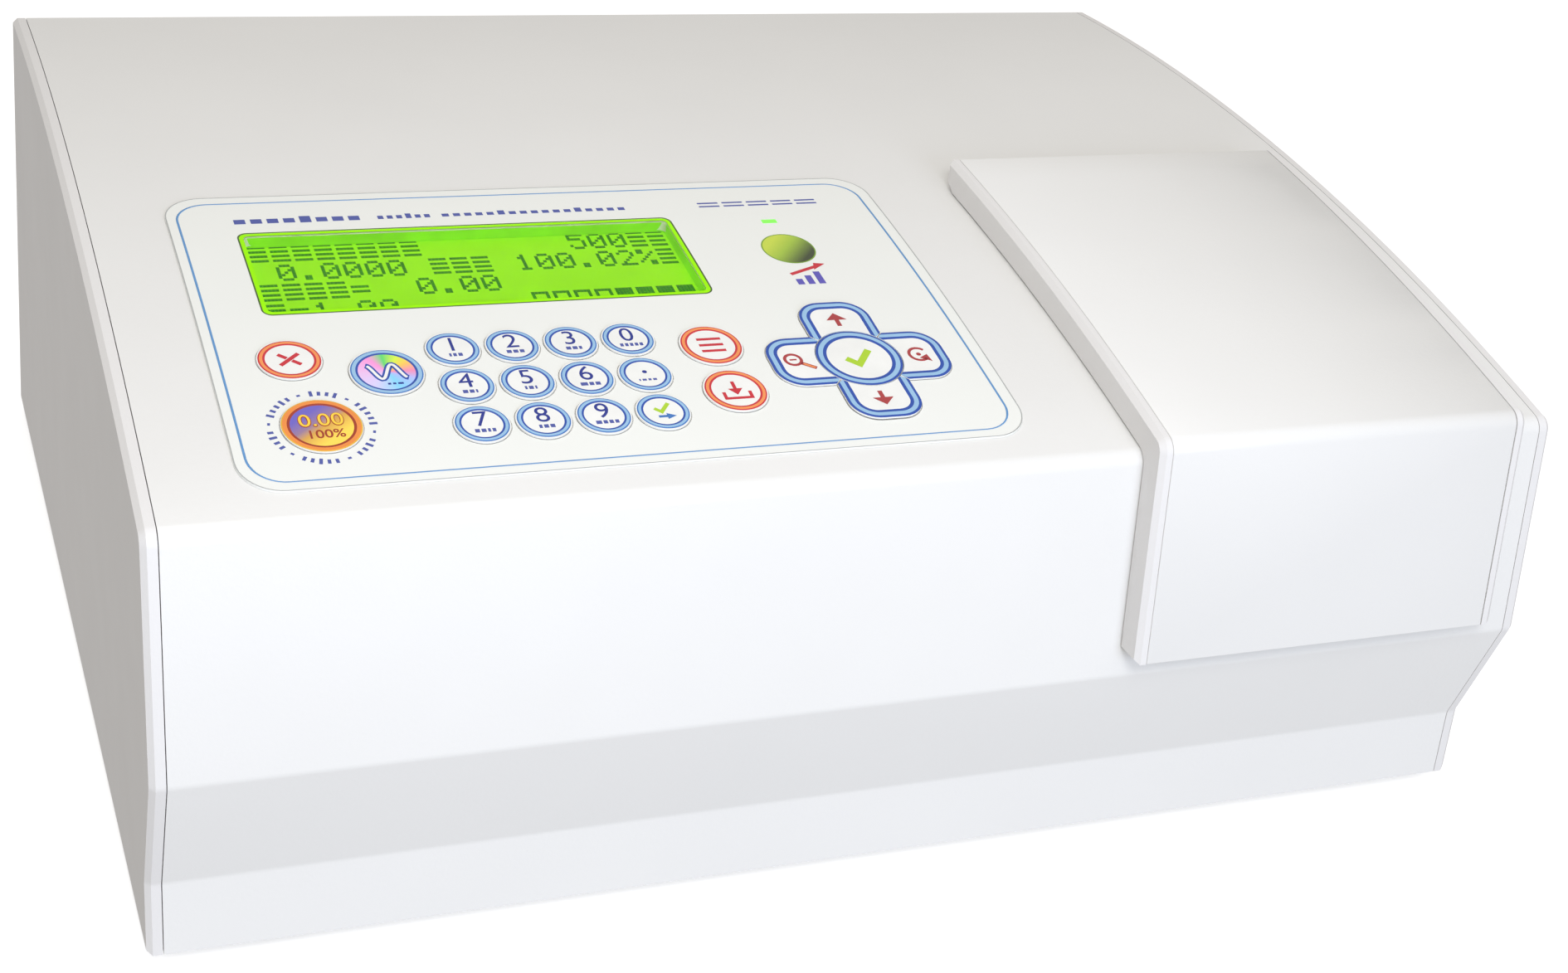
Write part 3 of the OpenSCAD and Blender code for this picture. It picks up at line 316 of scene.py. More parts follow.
# %% [markdown]
# Printing inks are thin and even. Each is matt plastic of one colour with a trace of mottle.
# Two keys carry a colour blend: the wavelength key turns through the spectrum round its centre,
# and the zero key runs from violet at its upper left to gold at its lower right.

# %% Inks
INKS = {
    "ink_navy": (28, 46, 138), "ink_royal": (34, 76, 166), "ink_blue": (60, 116, 186),
    "ink_sky": (150, 190, 222), "ink_line": (96, 150, 204), "ink_slate": (74, 86, 160),
    "ink_violet": (92, 84, 180), "ink_red": (200, 40, 54), "ink_brick": (170, 58, 60),
    "ink_rust": (158, 52, 22), "ink_orange": (240, 148, 82), "ink_apricot": (236, 140, 60),
    "ink_gold": (226, 176, 48), "ink_yellow": (250, 206, 60), "ink_lime": (172, 208, 40),
    # of the next inks, the dark green and the pale grey are painted shade lines, one along the window's edge
    # and one along the film's cut edge
    "ink_leaf": (120, 158, 40), "ink_moss": (70, 96, 30), "ink_edge": (176, 178, 176),
    "ink_white": (238, 238, 234)}
INK_GRAIN, INK_DRIFT = (2600, FINE_GRAIN), 120
for name, (r, g, b) in INKS.items():
    finish(name, srgb(r, g, b), 0.06, (0.38, 0.46), INK_GRAIN, INK_DRIFT)

def blended_ink(name, colour):
    return finish(name, colour, 0.05, (0.36, 0.44), INK_GRAIN, INK_DRIFT)

def skin_vector(tree, centre):
    """Object coordinates measured from a point on the piece."""
    place = node(tree, "ShaderNodeTexCoord")
    offset = node(tree, "ShaderNodeVectorMath", operation="SUBTRACT")
    offset.inputs[1].default_value = centre
    wire(tree, (place, "Object", offset, 0))
    return offset.outputs["Vector"]

def blend_ink(name, centre, across, stops):
    """Colour stops along a line. The vector across points that way, and is one over the blend long."""
    tree = blended_ink(name, stops[0][1]).node_tree
    dot = node(tree, "ShaderNodeVectorMath", operation="DOT_PRODUCT")
    dot.inputs[1].default_value = across
    tree.links.new(skin_vector(tree, centre), dot.inputs[0])
    shift = node(tree, "ShaderNodeMath", operation="ADD")
    shift.inputs[1].default_value = 0.5
    wire(tree, (dot, "Value", shift, 0))
    blend = ramp(tree, shift.outputs["Value"], stops)
    tree.links.new(blend, tree.nodes["Principled BSDF"].inputs["Base Color"])

def spectrum_ink(name, centre, stops):
    """Colour stops by the angle round a centre."""
    tree = blended_ink(name, stops[0][1]).node_tree
    parts = node(tree, "ShaderNodeSeparateXYZ")
    angle = node(tree, "ShaderNodeMath", operation="ARCTAN2")
    turn = node(tree, "ShaderNodeMath", operation="MULTIPLY_ADD")
    turn.inputs[1].default_value = 1/(2*pi)
    turn.inputs[2].default_value = 0.5
    tree.links.new(skin_vector(tree, centre), parts.inputs["Vector"])
    wire(tree, (parts, "Y", angle, 0), (parts, "X", angle, 1), (angle, "Value", turn, 0))
    blend = ramp(tree, turn.outputs["Value"], stops)
    tree.links.new(blend, tree.nodes["Principled BSDF"].inputs["Base Color"])

print("inks:", len(INKS))

# %% [markdown]
# ## Finishing the CAD nodes
# The frame's meshes are loose triangles. A small Geometry Nodes tree joins their corners and shades
# them smooth up to a crease angle. On the lid's cover, a bevel modifier then rounds the edges by a
# fraction of a millimetre, because a real edge catches a line of light.

# %% Tree that joins and smooths a CAD mesh
def new_tree(name, **sizes):
    """A Geometry Nodes tree with a Geometry input, named sizes, and its output node."""
    tree = bpy.data.node_groups.new(name, "GeometryNodeTree")
    tree.interface.new_socket("Geometry", in_out="INPUT", socket_type="NodeSocketGeometry")
    for name, value in sizes.items():
        label = name.replace("_", " ")
        size = tree.interface.new_socket(label, in_out="INPUT", socket_type="NodeSocketFloat")
        size.default_value = value
    tree.interface.new_socket("Geometry", in_out="OUTPUT", socket_type="NodeSocketGeometry")
    return tree, tree.nodes.new("NodeGroupInput"), tree.nodes.new("NodeGroupOutput")

def add_tree(piece, tree, **sizes):
    modifier = piece.modifiers.new(tree.name, "NODES")
    modifier.node_group = tree
    for item in tree.interface.items_tree:
        label = item.name.replace(" ", "_")
        if item.in_out == "INPUT" and label in sizes:
            modifier[item.identifier] = sizes[label]

CREASE = 0.6                       # a wider angle than this between two faces stays sharp, in radians
smooth_tree, source, result = new_tree("joined_and_smooth", Join_distance=0.000005, Crease_angle=CREASE)
join = smooth_tree.nodes.new("GeometryNodeMergeByDistance")
angle = smooth_tree.nodes.new("GeometryNodeInputMeshEdgeAngle")
gentle = node(smooth_tree, "FunctionNodeCompare", data_type="FLOAT", operation="LESS_EQUAL")
faces = node(smooth_tree, "GeometryNodeSetShadeSmooth", domain="FACE")
edges = node(smooth_tree, "GeometryNodeSetShadeSmooth", domain="EDGE")
wire(smooth_tree,
     (source, "Geometry", join, "Geometry"),
     (source, "Join distance", join, "Distance"),
     (join, "Geometry", faces, "Geometry"),
     (faces, "Geometry", edges, "Geometry"),
     (angle, "Unsigned Angle", gentle, "A"),
     (source, "Crease angle", gentle, "B"),
     (gentle, "Result", edges, "Shade Smooth"),
     (edges, "Geometry", result, "Geometry"))

# %% Rounded edges
EDGE_ROUND = {"lid_cover": 0.00025}
FLAT_WITHIN, SHARP_OVER = radians(0.05), radians(28)

def round_edges(piece, width):
    """Joins the triangles of each flat face, so that only the real edges get a bevel."""
    flat = piece.modifiers.new("flat_faces", "DECIMATE")
    flat.decimate_type = "DISSOLVE"
    flat.angle_limit = FLAT_WITHIN
    bevel = piece.modifiers.new("rounded_edge", "BEVEL")
    bevel.width = width
    bevel.segments = 2
    bevel.limit_method = "ANGLE"
    bevel.angle_limit = SHARP_OVER
    bevel.harden_normals = True

# %% Give each CAD node its finish
NODE_FINISH = {
    "white_paint": ["top_cover", "lid_cover"],
    "plate_paint": ["left_side_plate", "right_side_plate", "rear_panel",
                    "lid_left_plate", "lid_right_plate"],
    "zinc_sheet": ["base_tray", "hinge_bracket", "lid_hinge_leaf", "power_supply"],
    "turned_steel": ["panel_screws", "hinge_pin", "grating_motor", "serial_socket"],
    "machined_aluminium": ["lamp_housing"],
    "bench_casting": ["optics_bench"],
    "black_moulding": ["lcd_frame", "fan_frame", "fan_rotor", "power_inlet", "rocker_switch"],
    "matt_black": ["sample_tub", "slit_plates"],
    "anodised_black": ["cuvette_carriage"],
    "rubber": ["feet"],
    "seal_foam": ["lid_seal"],
    "overlay_film": ["keypad_overlay"],
    "circuit_board": ["keypad_circuit", "detector_board", "main_board"],
    "clear_window": ["display_window"],
    "lens_glass": ["beam_lenses"],
    "mirror_silver": ["curved_mirrors"],
    "grating_ruling": ["grating_table"],
    "display_lime": ["lcd_glass"],
    "lamp_green": ["status_led"],
    "lamp_glass_frost": ["halogen_lamp"],
    "key_film": [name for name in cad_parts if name.startswith("key_")]}

def dress(name, material):
    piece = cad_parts[name]
    piece.data.materials.clear()
    piece.data.materials.append(FINISH[material])
    add_tree(piece, smooth_tree, Crease_angle=pi if name in EDGE_ROUND else CREASE)
    if name in EDGE_ROUND:
        round_edges(piece, EDGE_ROUND[name])

for material, names in NODE_FINISH.items():
    for name in names:
        dress(name, material)
missing = sorted(set(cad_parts) - {n for names in NODE_FINISH.values() for n in names})
print("nodes without a finish:", missing)

# %% [markdown]
# ## Where the printing goes
# The top is one large arc, so a print is placed by how far it lies behind the front fold. The first
# helper turns that into a frame whose Z axis stands on the skin. The second follows the arc point by
# point, for a long line that a flat frame would lift off the surface.

# %% The skin of the top
MM = 0.001
FOLD_Y = -157.393                  # the front fold, in millimetres as all that follows
CROWN_Y, CROWN_Z, CROWN_R = 96.5054, -827.676, 986.412

def on_skin(x, behind, lift=0.0, turn=0.0):
    """Frame on the top: X across, Z out of the skin, in millimetres."""
    t = asin((FOLD_Y + behind - CROWN_Y)/CROWN_R)
    r = CROWN_R + lift
    place = Matrix.Translation((x, CROWN_Y + r*sin(t), CROWN_Z + r*cos(t)))
    return place @ Matrix.Rotation(-t, 4, "X") @ Matrix.Rotation(turn, 4, "Z")

def skin_point(x, behind, lift=0.0):
    y = FOLD_Y + behind
    return Vector((x, y, CROWN_Z + sqrt((CROWN_R + lift)**2 - (y - CROWN_Y)**2)))

overlay_low, overlay_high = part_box("keypad_overlay")
print("overlay behind the fold:", [round(v.y/MM - FOLD_Y, 1) for v in (overlay_low, overlay_high)], "mm")

# %% [markdown]
# A print is a set of flat shapes, each with its ink, joined into one thin piece for the body it lies
# on. A ring, a stroke and a digit are enough to draw all of them. Digits come from a text curve, which
# is turned into a mesh before it is placed.

# %% Shapes to print with
def circle(r, z, centre, steps):
    turns = [2*pi*i/steps for i in range(steps)]
    return [(centre[0] + r*cos(a), centre[1] + r*sin(a), z) for a in turns]

def loop_faces(n):
    """Quads between two closed outlines of n points each."""
    return [(i, i + n, (i + 1) % n + n, (i + 1) % n) for i in range(n)]

def ring(r0, r1, z0, z1, ink, centre=(0, 0), steps=64):
    return circle(r0, z0, centre, steps) + circle(r1, z1, centre, steps), loop_faces(steps), ink

def disc(r, z, ink, centre=(0, 0), steps=64):
    return circle(r, z, centre, steps), [tuple(range(steps))], ink

SHARPEST = 0.4                     # keeps the mitre of a very sharp corner short

def stroke(line, width, z, ink, closed=False):
    """A flat band of even width along a line of 2-D points, mitred at its corners."""
    line = [Vector(p) for p in line]
    n = len(line)
    sides = []
    for i, p in enumerate(line):
        before = (p - line[i - 1]) if (i or closed) else (line[1] - p)
        after = (line[(i + 1) % n] - p) if (i < n - 1 or closed) else before
        before, after = before.normalized(), after.normalized()
        across = Vector((-before.y - after.y, before.x + after.x)).normalized()
        reach = width/2/max(SHARPEST, across.dot(Vector((-before.y, before.x))))
        sides.append((p + across*reach, p - across*reach))
    points = [(q.x, q.y, z) for pair in sides for q in pair]
    quads = n if closed else n - 1
    return points, [(2*i + 1, (2*i + 3) % (2*n), (2*i + 2) % (2*n), 2*i) for i in range(quads)], ink

def poly(points, z, ink):
    return [(x, y, z) for x, y in points], [tuple(range(len(points)))], ink

# %% Digits, bars and the printed piece
def built_mesh(piece):
    """A mesh of the piece as its modifiers or its curve make it."""
    bpy.context.view_layer.update()
    built = piece.evaluated_get(bpy.context.evaluated_depsgraph_get())
    return bpy.data.meshes.new_from_object(built)

def glyph(text, size, z, ink, centre=(0, 0), weight=0.0):
    curve = bpy.data.curves.new("glyph", "FONT")
    curve.body = text
    curve.size = size
    curve.offset = weight
    curve.resolution_u = 5
    curve.align_x = "CENTER"
    curve.align_y = "CENTER"
    holder = add_object("glyph", curve)
    mesh = built_mesh(holder)
    points = [(v.co.x + centre[0], v.co.y + centre[1], z) for v in mesh.vertices]
    shape = points, [tuple(p.vertices) for p in mesh.polygons], ink
    bpy.data.objects.remove(holder)
    bpy.data.curves.remove(curve)
    bpy.data.meshes.remove(mesh)
    return shape

def row_length(widths, step):
    return sum(widths) + step*(len(widths) - 1)

def bars(widths, step, height, z, ink, centre=(0, 0)):
    """A row of small bars, which stands for a line of small lettering."""
    x = centre[0] - row_length(widths, step)/2
    low, high = centre[1] - height/2, centre[1] + height/2
    points, polys = [], []
    for w in widths:
        n = len(points)
        points += [(x, low, z), (x + w, low, z), (x + w, high, z), (x, high, z)]
        polys.append((n, n + 1, n + 2, n + 3))
        x += w + step
    return points, polys, ink

INK_THICK = 0.00002

def printed(name, shapes, place, body, thick=INK_THICK):
    """Joins shapes (millimetres in the frame place) into one thin piece on a body."""
    verts, polys, marks, inks = [], [], [], []
    for points, faces, ink in shapes:
        first = len(verts)
        verts += [(place @ Vector(p))*MM for p in points]
        polys += [[first + i for i in f] for f in faces]
        if ink not in inks:
            inks.append(ink)
        marks += [inks.index(ink)]*len(faces)
    mesh = bpy.data.meshes.new(name)
    mesh.from_pydata(verts, [], polys)
    for ink in inks:
        mesh.materials.append(FINISH[ink])
    mesh.polygons.foreach_set("material_index", marks)
    piece = add_object(name, mesh)
    film = piece.modifiers.new("film", "SOLIDIFY")
    film.thickness = thick
    film.offset = -1
    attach(piece, body)

# %% [markdown]
# ## Round keys
# A key is a white disc ringed by printed bands: a thin line, a pale band and a dark line. The bands
# rise by a tenth of a millimetre, as an embossed film does, so the rim catches the light. The ink's
# heights above the key's face step up by a few hundredths, so that each print lies on the one below.

# %% Rings of a key
KEY_TOP = 0.9                      # height of a key's face above the skin

def key_place(x, behind):
    return on_skin(x, behind) @ Matrix.Translation((0, 0, KEY_TOP))

RIM_FOOT, RIM_RISE = 0.03, 0.08    # the rim's lowest height above the face, and how far it rises

def key_rings(r, bands, face):
    """Bands from the edge inwards, as (width, ink), round a face."""
    shapes, r1, z1 = [], r, RIM_FOOT
    for i, (width, ink) in enumerate(bands):
        z0 = RIM_FOOT + RIM_RISE*sin(pi*(i + 1)/len(bands))
        shapes.append(ring(r1 - width, r1, z0, z1, ink))
        r1, z1 = r1 - width, z0
    return shapes + [disc(r1, z1, face)]

def tick(size, z, ink, centre=(0, 0), width=1.0):
    x, y = centre
    corners = [(x - 0.5*size, y), (x - 0.12*size, y - 0.36*size), (x + 0.5*size, y + 0.42*size)]
    return stroke(corners, width, z, ink)

# %% Number keys
BLUE_BANDS = [(0.35, "ink_blue"), (0.75, "ink_sky"), (0.55, "ink_royal")]
RED_BANDS = [(0.4, "ink_red"), (0.8, "ink_orange"), (0.6, "ink_red")]
NUMBER_R, NUMBER_X, NUMBER_BEHIND = 6.85, -110.3, 59.3
STEP_ACROSS, STEP_DOWN = 15.85, 15.2
ON_FACE = 0.06                     # height of a figure's ink above the key's face
DIGITS = ["1", "2", "3", "0", "4", "5", "6", "point", "7", "8", "9", "enter"]
UNDER = {"1": (0.6, 0.9, 1.1), "2": (1.3, 1.3, 1.2), "3": (1.3, 1.3, 0.8), "0": (0.9,)*5,
         "4": (1.3, 1.2, 0.5), "5": (0.6, 1.2, 0.5), "6": (1.9, 1.2, 1.3), "point": (0.4, 1.1, 0.8, 1.0),
         "7": (1.2, 1.2, 0.7, 0.9), "8": (0.8, 1.2, 1.2), "9": (1.5, 1.1, 1.1, 1.0)}

def number_face(digit):
    if digit == "enter":
        return [tick(4.2, ON_FACE, "ink_lime", (0, 1.3), 1.1),
                stroke([(-1.8, -2.0), (0.6, -2.0)], 0.9, ON_FACE, "ink_blue"),
                poly([(0.5, -3.2), (3.0, -2.0), (0.5, -0.8)], ON_FACE, "ink_blue")]
    if digit == "point":
        return [disc(0.65, ON_FACE, "ink_navy", (0, 0.9), 20),
                bars(UNDER[digit], 0.5, 0.8, ON_FACE, "ink_slate", (0, -2.4))]
    return [glyph(digit, 8.2, ON_FACE, "ink_navy", (0, 1.6)),
            bars(UNDER[digit], 0.45, 1.3, ON_FACE, "ink_slate", (0.2, -2.6))]

for i, digit in enumerate(DIGITS):
    place = key_place(NUMBER_X + STEP_ACROSS*(i % 4), NUMBER_BEHIND - STEP_DOWN*(i // 4))
    face = key_rings(NUMBER_R, BLUE_BANDS, "ink_white") + number_face(digit)
    printed("print_" + digit, face, place, "key_" + digit + "_body")
print("number keys printed:", len(DIGITS))

# %% [markdown]
# The function keys show an icon in place of a word: a cross to cancel, three lines for the menu, an
# arrow into a tray for the memory, and a wave for the wavelength. The zero key is a gold figure on the
# violet to gold blend, and a circle of dashes surrounds it on the film.

# %% Blends of two keys
def skin_centre(x, behind, lift=KEY_TOP):
    return tuple(v*MM for v in on_skin(x, behind, lift).translation)

KEY_AT = {"escape": (-152.5, 58.7), "menu": (-40.9, 54.6), "memory": (-40.7, 35.2),
          "wavelength": (-129.3, 51.4), "zero": (-149.6, 32.3)}
spectrum_ink("ink_spectrum", skin_centre(*KEY_AT["wavelength"]), [
    (0.0, srgb(232, 190, 232)), (0.14, srgb(214, 206, 246)), (0.3, srgb(130, 210, 250)),
    (0.42, srgb(170, 190, 250)), (0.5, srgb(240, 140, 180)), (0.58, srgb(250, 196, 90)),
    (0.66, srgb(214, 240, 70)), (0.75, srgb(90, 214, 110)), (0.84, srgb(246, 150, 214)),
    (1.0, srgb(232, 190, 232))])
blend_ink("ink_sunset", skin_centre(*KEY_AT["zero"]), (45, -60, 0), [
    (0.1, srgb(108, 96, 190)), (0.38, srgb(150, 120, 150)),
    (0.55, srgb(214, 160, 70)), (0.9, srgb(250, 214, 80))])

# %% Icons of the function keys
ICON = 0.07                        # height of an icon's ink above the key's face
OVER_ICON = 0.09                   # height of a second ink on top of the first

def red_stroke(line, width):
    return stroke(line, width, ICON, "ink_red")

cross = [red_stroke([(-2.6, -2.3), (2.6, 2.3)], 1.15),
         red_stroke([(-2.6, 2.3), (-0.6, 0.53)], 1.15),
         red_stroke([(0.6, -0.53), (2.6, -2.3)], 1.15)]
three_lines = [red_stroke([(-3.4, y), (3.4, y)], 1.0) for y in (-2.6, 0, 2.6)]
tray = [red_stroke([(-3.6, -0.6), (-3.6, -3.2), (3.6, -3.2), (3.6, -0.6)], 0.95),
        red_stroke([(0, 3.6), (0, 0.6)], 1.0),
        poly([(-2.0, 0.7), (0, -1.9), (2.0, 0.7)], ICON, "ink_red")]
WAVE_HEIGHT, WAVE_LENGTH = 2.9, 6.6
wave = [(x/10, WAVE_HEIGHT*sin(x/10*2*pi/WAVE_LENGTH)) for x in range(-50, 51, 4)]
wave_icon = [stroke(wave, 1.9, ON_FACE, "ink_royal"),
             stroke(wave[1:-1], 0.8, OVER_ICON, "ink_white"),
             bars((0.8, 0.8, 1.4), 0.5, 0.7, ON_FACE, "ink_navy", (1.2, -5.0))]
figures = [glyph("0.00", 6.6, ON_FACE, "ink_rust", (0.1, 1.8), 0.2),
           glyph("0.00", 6.6, OVER_ICON, "ink_yellow", (0.1, 1.9)),
           glyph("100%", 4.4, ON_FACE, "ink_rust", (0.4, -3.4), 0.05)]

# %% Function keys
WAVE_BANDS = [(0.35, "ink_blue"), (0.95, "ink_sky"), (0.6, "ink_royal")]
ZERO_BANDS = [(0.35, "ink_gold"), (1.1, "ink_apricot"), (0.7, "ink_rust")]
FUNCTION_KEYS = {
    "escape": key_rings(7.9, RED_BANDS, "ink_white") + cross,
    "menu": key_rings(8.3, RED_BANDS, "ink_white") + three_lines,
    "memory": key_rings(8.3, RED_BANDS, "ink_white") + tray,
    "wavelength": key_rings(9.2, WAVE_BANDS, "ink_spectrum") + wave_icon,
    "zero": key_rings(9.9, ZERO_BANDS, "ink_sunset") + figures}
for name, face in FUNCTION_KEYS.items():
    printed("print_" + name, face, key_place(*KEY_AT[name]), "key_" + name + "_body")
print("function keys printed:", len(FUNCTION_KEYS))

# %% [markdown]
# ## Cursor pad
# The pad is a cross of four keys round a disc. Each arm has the same three bands along its outer sides
# and ends where the disc begins. A band is the strip between two outlines of the arm, one set further
# in than the other, so one function that draws the outline at any inset makes them all.

# %% Outline of an arm
ARM_REACH, ARM_HALF, ARM_ROUND, OK_R, GAP = 25.7, 10.4, 7.5, 12.0, 0.3
CLEAR = 0.05                       # keeps the print off the gap between two keys

def arm_line(inset, steps=10):
    """The outline of the right-hand arm from its lower root, round its end, to its upper root."""
    h, reach, r = ARM_HALF - inset, ARM_REACH - inset, max(0.5, ARM_ROUND - inset)
    beside_arm = h + GAP/sqrt(2) + CLEAR
    beside_disc = sqrt(max(0.0, (OK_R + GAP + CLEAR)**2 - h*h))
    angles = [pi/2*i/steps for i in range(steps + 1)]
    upper = [(max(beside_arm, beside_disc), h)] + [(reach - r + r*sin(a), h - r + r*cos(a)) for a in angles]
    return [(x, -y) for x, y in upper] + [(x, y) for x, y in reversed(upper)]

def arm_band(inset0, inset1, z0, z1, ink):
    outer, inner = arm_line(inset0), arm_line(inset1)
    n = len(outer)
    points = [(x, y, z0) for x, y in outer] + [(x, y, z1) for x, y in inner]
    return points, [(i, i + 1, i + 1 + n, i + n) for i in range(n - 1)], ink

def arm_face(inset, z, ink, steps=12):
    line = arm_line(inset)
    r = hypot(*line[-1])
    a0 = asin(line[-1][1]/r)
    arc = [(r*cos(a), r*sin(a)) for a in (a0 - 2*a0*i/steps for i in range(1, steps))]
    return poly(line + arc, z, ink)

ROOT_SIDE = 43.5                   # half the angle of the disc that one arm meets, in degrees

def arm_root(inset, z, ink, steps=12):
    """The whole arm down to the disc, which fills the corner between two arms."""
    angles = [radians(ROOT_SIDE - 2*ROOT_SIDE*i/steps) for i in range(steps + 1)]
    arc = [((OK_R + GAP)*cos(a), (OK_R + GAP)*sin(a)) for a in angles]
    return poly(arm_line(inset) + arc, z, ink)

# %% Print of an arm
ARM_BANDS = [(0.0, 0.8, "ink_royal"), (0.8, 2.1, "ink_sky"), (2.1, 3.1, "ink_royal")]
BAND_HEIGHTS = [0.03, 0.09, 0.09, 0.05]
ROOT_HEIGHT, ICON_AT = 0.025, (17.6, 0)

def arm_print(icon):
    low, high = BAND_HEIGHTS[:-1], BAND_HEIGHTS[1:]
    bands = [arm_band(a, b, z0, z1, ink) for (a, b, ink), z0, z1 in zip(ARM_BANDS, low, high)]
    root = arm_root(ARM_BANDS[0][1], ROOT_HEIGHT, "ink_sky")
    return [root] + bands + [arm_face(ARM_BANDS[-1][1], BAND_HEIGHTS[-1], "ink_white")] + icon

def turned(shapes, degrees, centre):
    """Shapes drawn upright round (0, 0), turned back and moved to read upright on a turned arm."""
    c, s = cos(radians(degrees)), sin(radians(degrees))
    return [([(x*c + y*s + centre[0], -x*s + y*c + centre[1], z) for x, y, z in points], faces, ink)
            for points, faces, ink in shapes]

# %% Icons of the arms
TOUCH = 0.08                       # height of an arm's icon above the key's face

def brick_stroke(line, width, closed=False):
    return stroke(line, width, TOUCH, "ink_brick", closed)

LENS_R = 2.3
rim = [(LENS_R*cos(2*pi*i/24) - 1.4, LENS_R*sin(2*pi*i/24) + 0.9) for i in range(24)]
lens = [brick_stroke(rim, 0.9, closed=True),
        brick_stroke([(0.4, -0.7), (4.0, -3.2)], 1.3),
        stroke([(0.9, -1.05), (3.7, -3.0)], 0.6, 0.1, "ink_orange"),
        brick_stroke([(-2.4, 0.9), (-0.4, 0.9)], 0.6)]
up = [poly([(-3.0, -0.2), (0, 2.9), (3.0, -0.2)], TOUCH, "ink_brick"),
      brick_stroke([(0, -0.2), (0, -3.0)], 1.3)]
down = [([(x, -y, z) for x, y, z in points], [tuple(reversed(f)) for f in faces], ink)
        for points, faces, ink in up]
SWEEP_R = 2.7
sweep = [(SWEEP_R*cos(a), SWEEP_R*sin(a)) for a in (radians(40 + 16*i) for i in range(18))]
cycle = [brick_stroke(sweep, 0.9),
         poly([(2.3422, -0.1756), (-0.2578, -1.6), (2.8422, -3.4)], TOUCH, "ink_brick"),
         disc(0.7, TOUCH, "ink_brick", (0, 0), 20)]

# %% Cursor keys
PAD_X, PAD_BEHIND = -1.5, 45.2
ARMS = {"right": (0, cycle), "up": (90, up), "left": (180, lens), "down": (270, down)}
for name, (degrees, icon) in ARMS.items():
    turned_skin = on_skin(PAD_X, PAD_BEHIND, turn=radians(degrees))
    place = turned_skin @ Matrix.Translation((0, 0, KEY_TOP))
    printed("print_" + name, arm_print(turned(icon, degrees, ICON_AT)), place, "key_" + name + "_body")

OK_BANDS = [(0.7, "ink_royal"), (1.3, "ink_sky"), (1.0, "ink_royal")]
ok = key_rings(OK_R, OK_BANDS, "ink_white") + [tick(7.6, ICON, "ink_lime", (0, 0), 2.0)]
printed("print_ok", ok, key_place(PAD_X, PAD_BEHIND), "key_ok_body")
print("cursor keys printed:", len(ARMS) + 1)

# %% [markdown]
# ## Lines that follow a path
# A fine blue line runs round the film, a few millimetres inside its edge, and a thin grey one is painted
# shade along the cut edge itself. Each is one path with a flat section, so Geometry Nodes sweeps a small
# rectangle along it. The tree has inputs for the line's width and thickness, and the path itself is a plain
# mesh of edges on the skin.

# %% Tree that sweeps a line along a path
def path_object(name, points):
    """A closed loop of edges, one between each point and the next."""
    mesh = bpy.data.meshes.new(name)
    n = len(points)
    mesh.from_pydata([p*MM for p in points], [(i, (i + 1) % n) for i in range(n)], [])
    return add_object(name, mesh)

def as_plain_mesh(piece, name):
    """The piece with its Geometry Nodes result as its own mesh, and no modifier left."""
    mesh = built_mesh(piece)
    plain = add_object(name, mesh)
    bpy.data.objects.remove(piece)
    print(name, "has", len(mesh.polygons), "faces")
    return plain

def set_material(tree, geometry, material):
    realize = tree.nodes.new("GeometryNodeRealizeInstances")
    paint = tree.nodes.new("GeometryNodeSetMaterial")
    paint.inputs["Material"].default_value = FINISH[material]
    tree.links.new(geometry, realize.inputs["Geometry"])
    tree.links.new(realize.outputs["Geometry"], paint.inputs["Geometry"])
    return paint.outputs["Geometry"]

def line_tree(name, material):
    tree, source, result = new_tree(name, Line_width=0.0004, Line_height=0.00004)
    path = tree.nodes.new("GeometryNodeMeshToCurve")
    section = node(tree, "GeometryNodeCurvePrimitiveQuadrilateral", mode="RECTANGLE")
    sweep = tree.nodes.new("GeometryNodeCurveToMesh")
    upright = node(tree, "GeometryNodeSetCurveNormal", mode="Z_UP")
    wire(tree,
         (source, "Geometry", path, "Mesh"),
         (path, "Curve", upright, "Curve"),
         (upright, "Curve", sweep, "Curve"),
         (source, "Line width", section, "Width"),
         (source, "Line height", section, "Height"),
         (section, "Curve", sweep, "Profile Curve"))
    painted = set_material(tree, sweep.outputs["Mesh"], material)
    tree.links.new(painted, result.inputs["Geometry"])
    return tree

# %% Lines round the film
LONG_SIDE = 20                     # a stretch longer than this is cut up, so that it follows the arc

def round_path(x0, x1, y0, y1, r, lift, per_side=24, per_corner=10):
    """Points of a rounded rectangle on the skin, straight sides included."""
    left, right, front, back = x0 + r, x1 - r, y0 + r, y1 - r
    flat = []
    for cx, cy, start in ((right, front, -90), (right, back, 0), (left, back, 90), (left, front, 180)):
        angles = [radians(start + 90*i/per_corner) for i in range(per_corner + 1)]
        flat += [(cx + r*cos(a), cy + r*sin(a)) for a in angles]
    points = []
    for i, (px, py) in enumerate(flat):
        qx, qy = flat[(i + 1) % len(flat)]
        cuts = per_side if hypot(qx - px, qy - py) > LONG_SIDE else 1
        points += [skin_point(px + (qx - px)*k/cuts, py + (qy - py)*k/cuts, lift) for k in range(cuts)]
    return points

FILM_LINES = {"print_border": ((-169.8, 32.0, 13.6, 135.8, 9.0), "ink_line", 0.0006),
              # the pale grey line on the film's cut edge is painted shade, where the film steps down to the
              # paint
              "film_edge": ((-172.6, 35.7, 10.7, 139.4, 10.8), "ink_edge", 0.0003)}
LINE_LIFT = 0.51                   # height of the middle of a line above the skin
for name, (outline, ink, width) in FILM_LINES.items():
    path = path_object(name + "_path", round_path(*outline, LINE_LIFT))
    add_tree(path, line_tree(name + "_tree", ink), Line_width=width)
    line = as_plain_mesh(path, name)
    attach(line, "case")

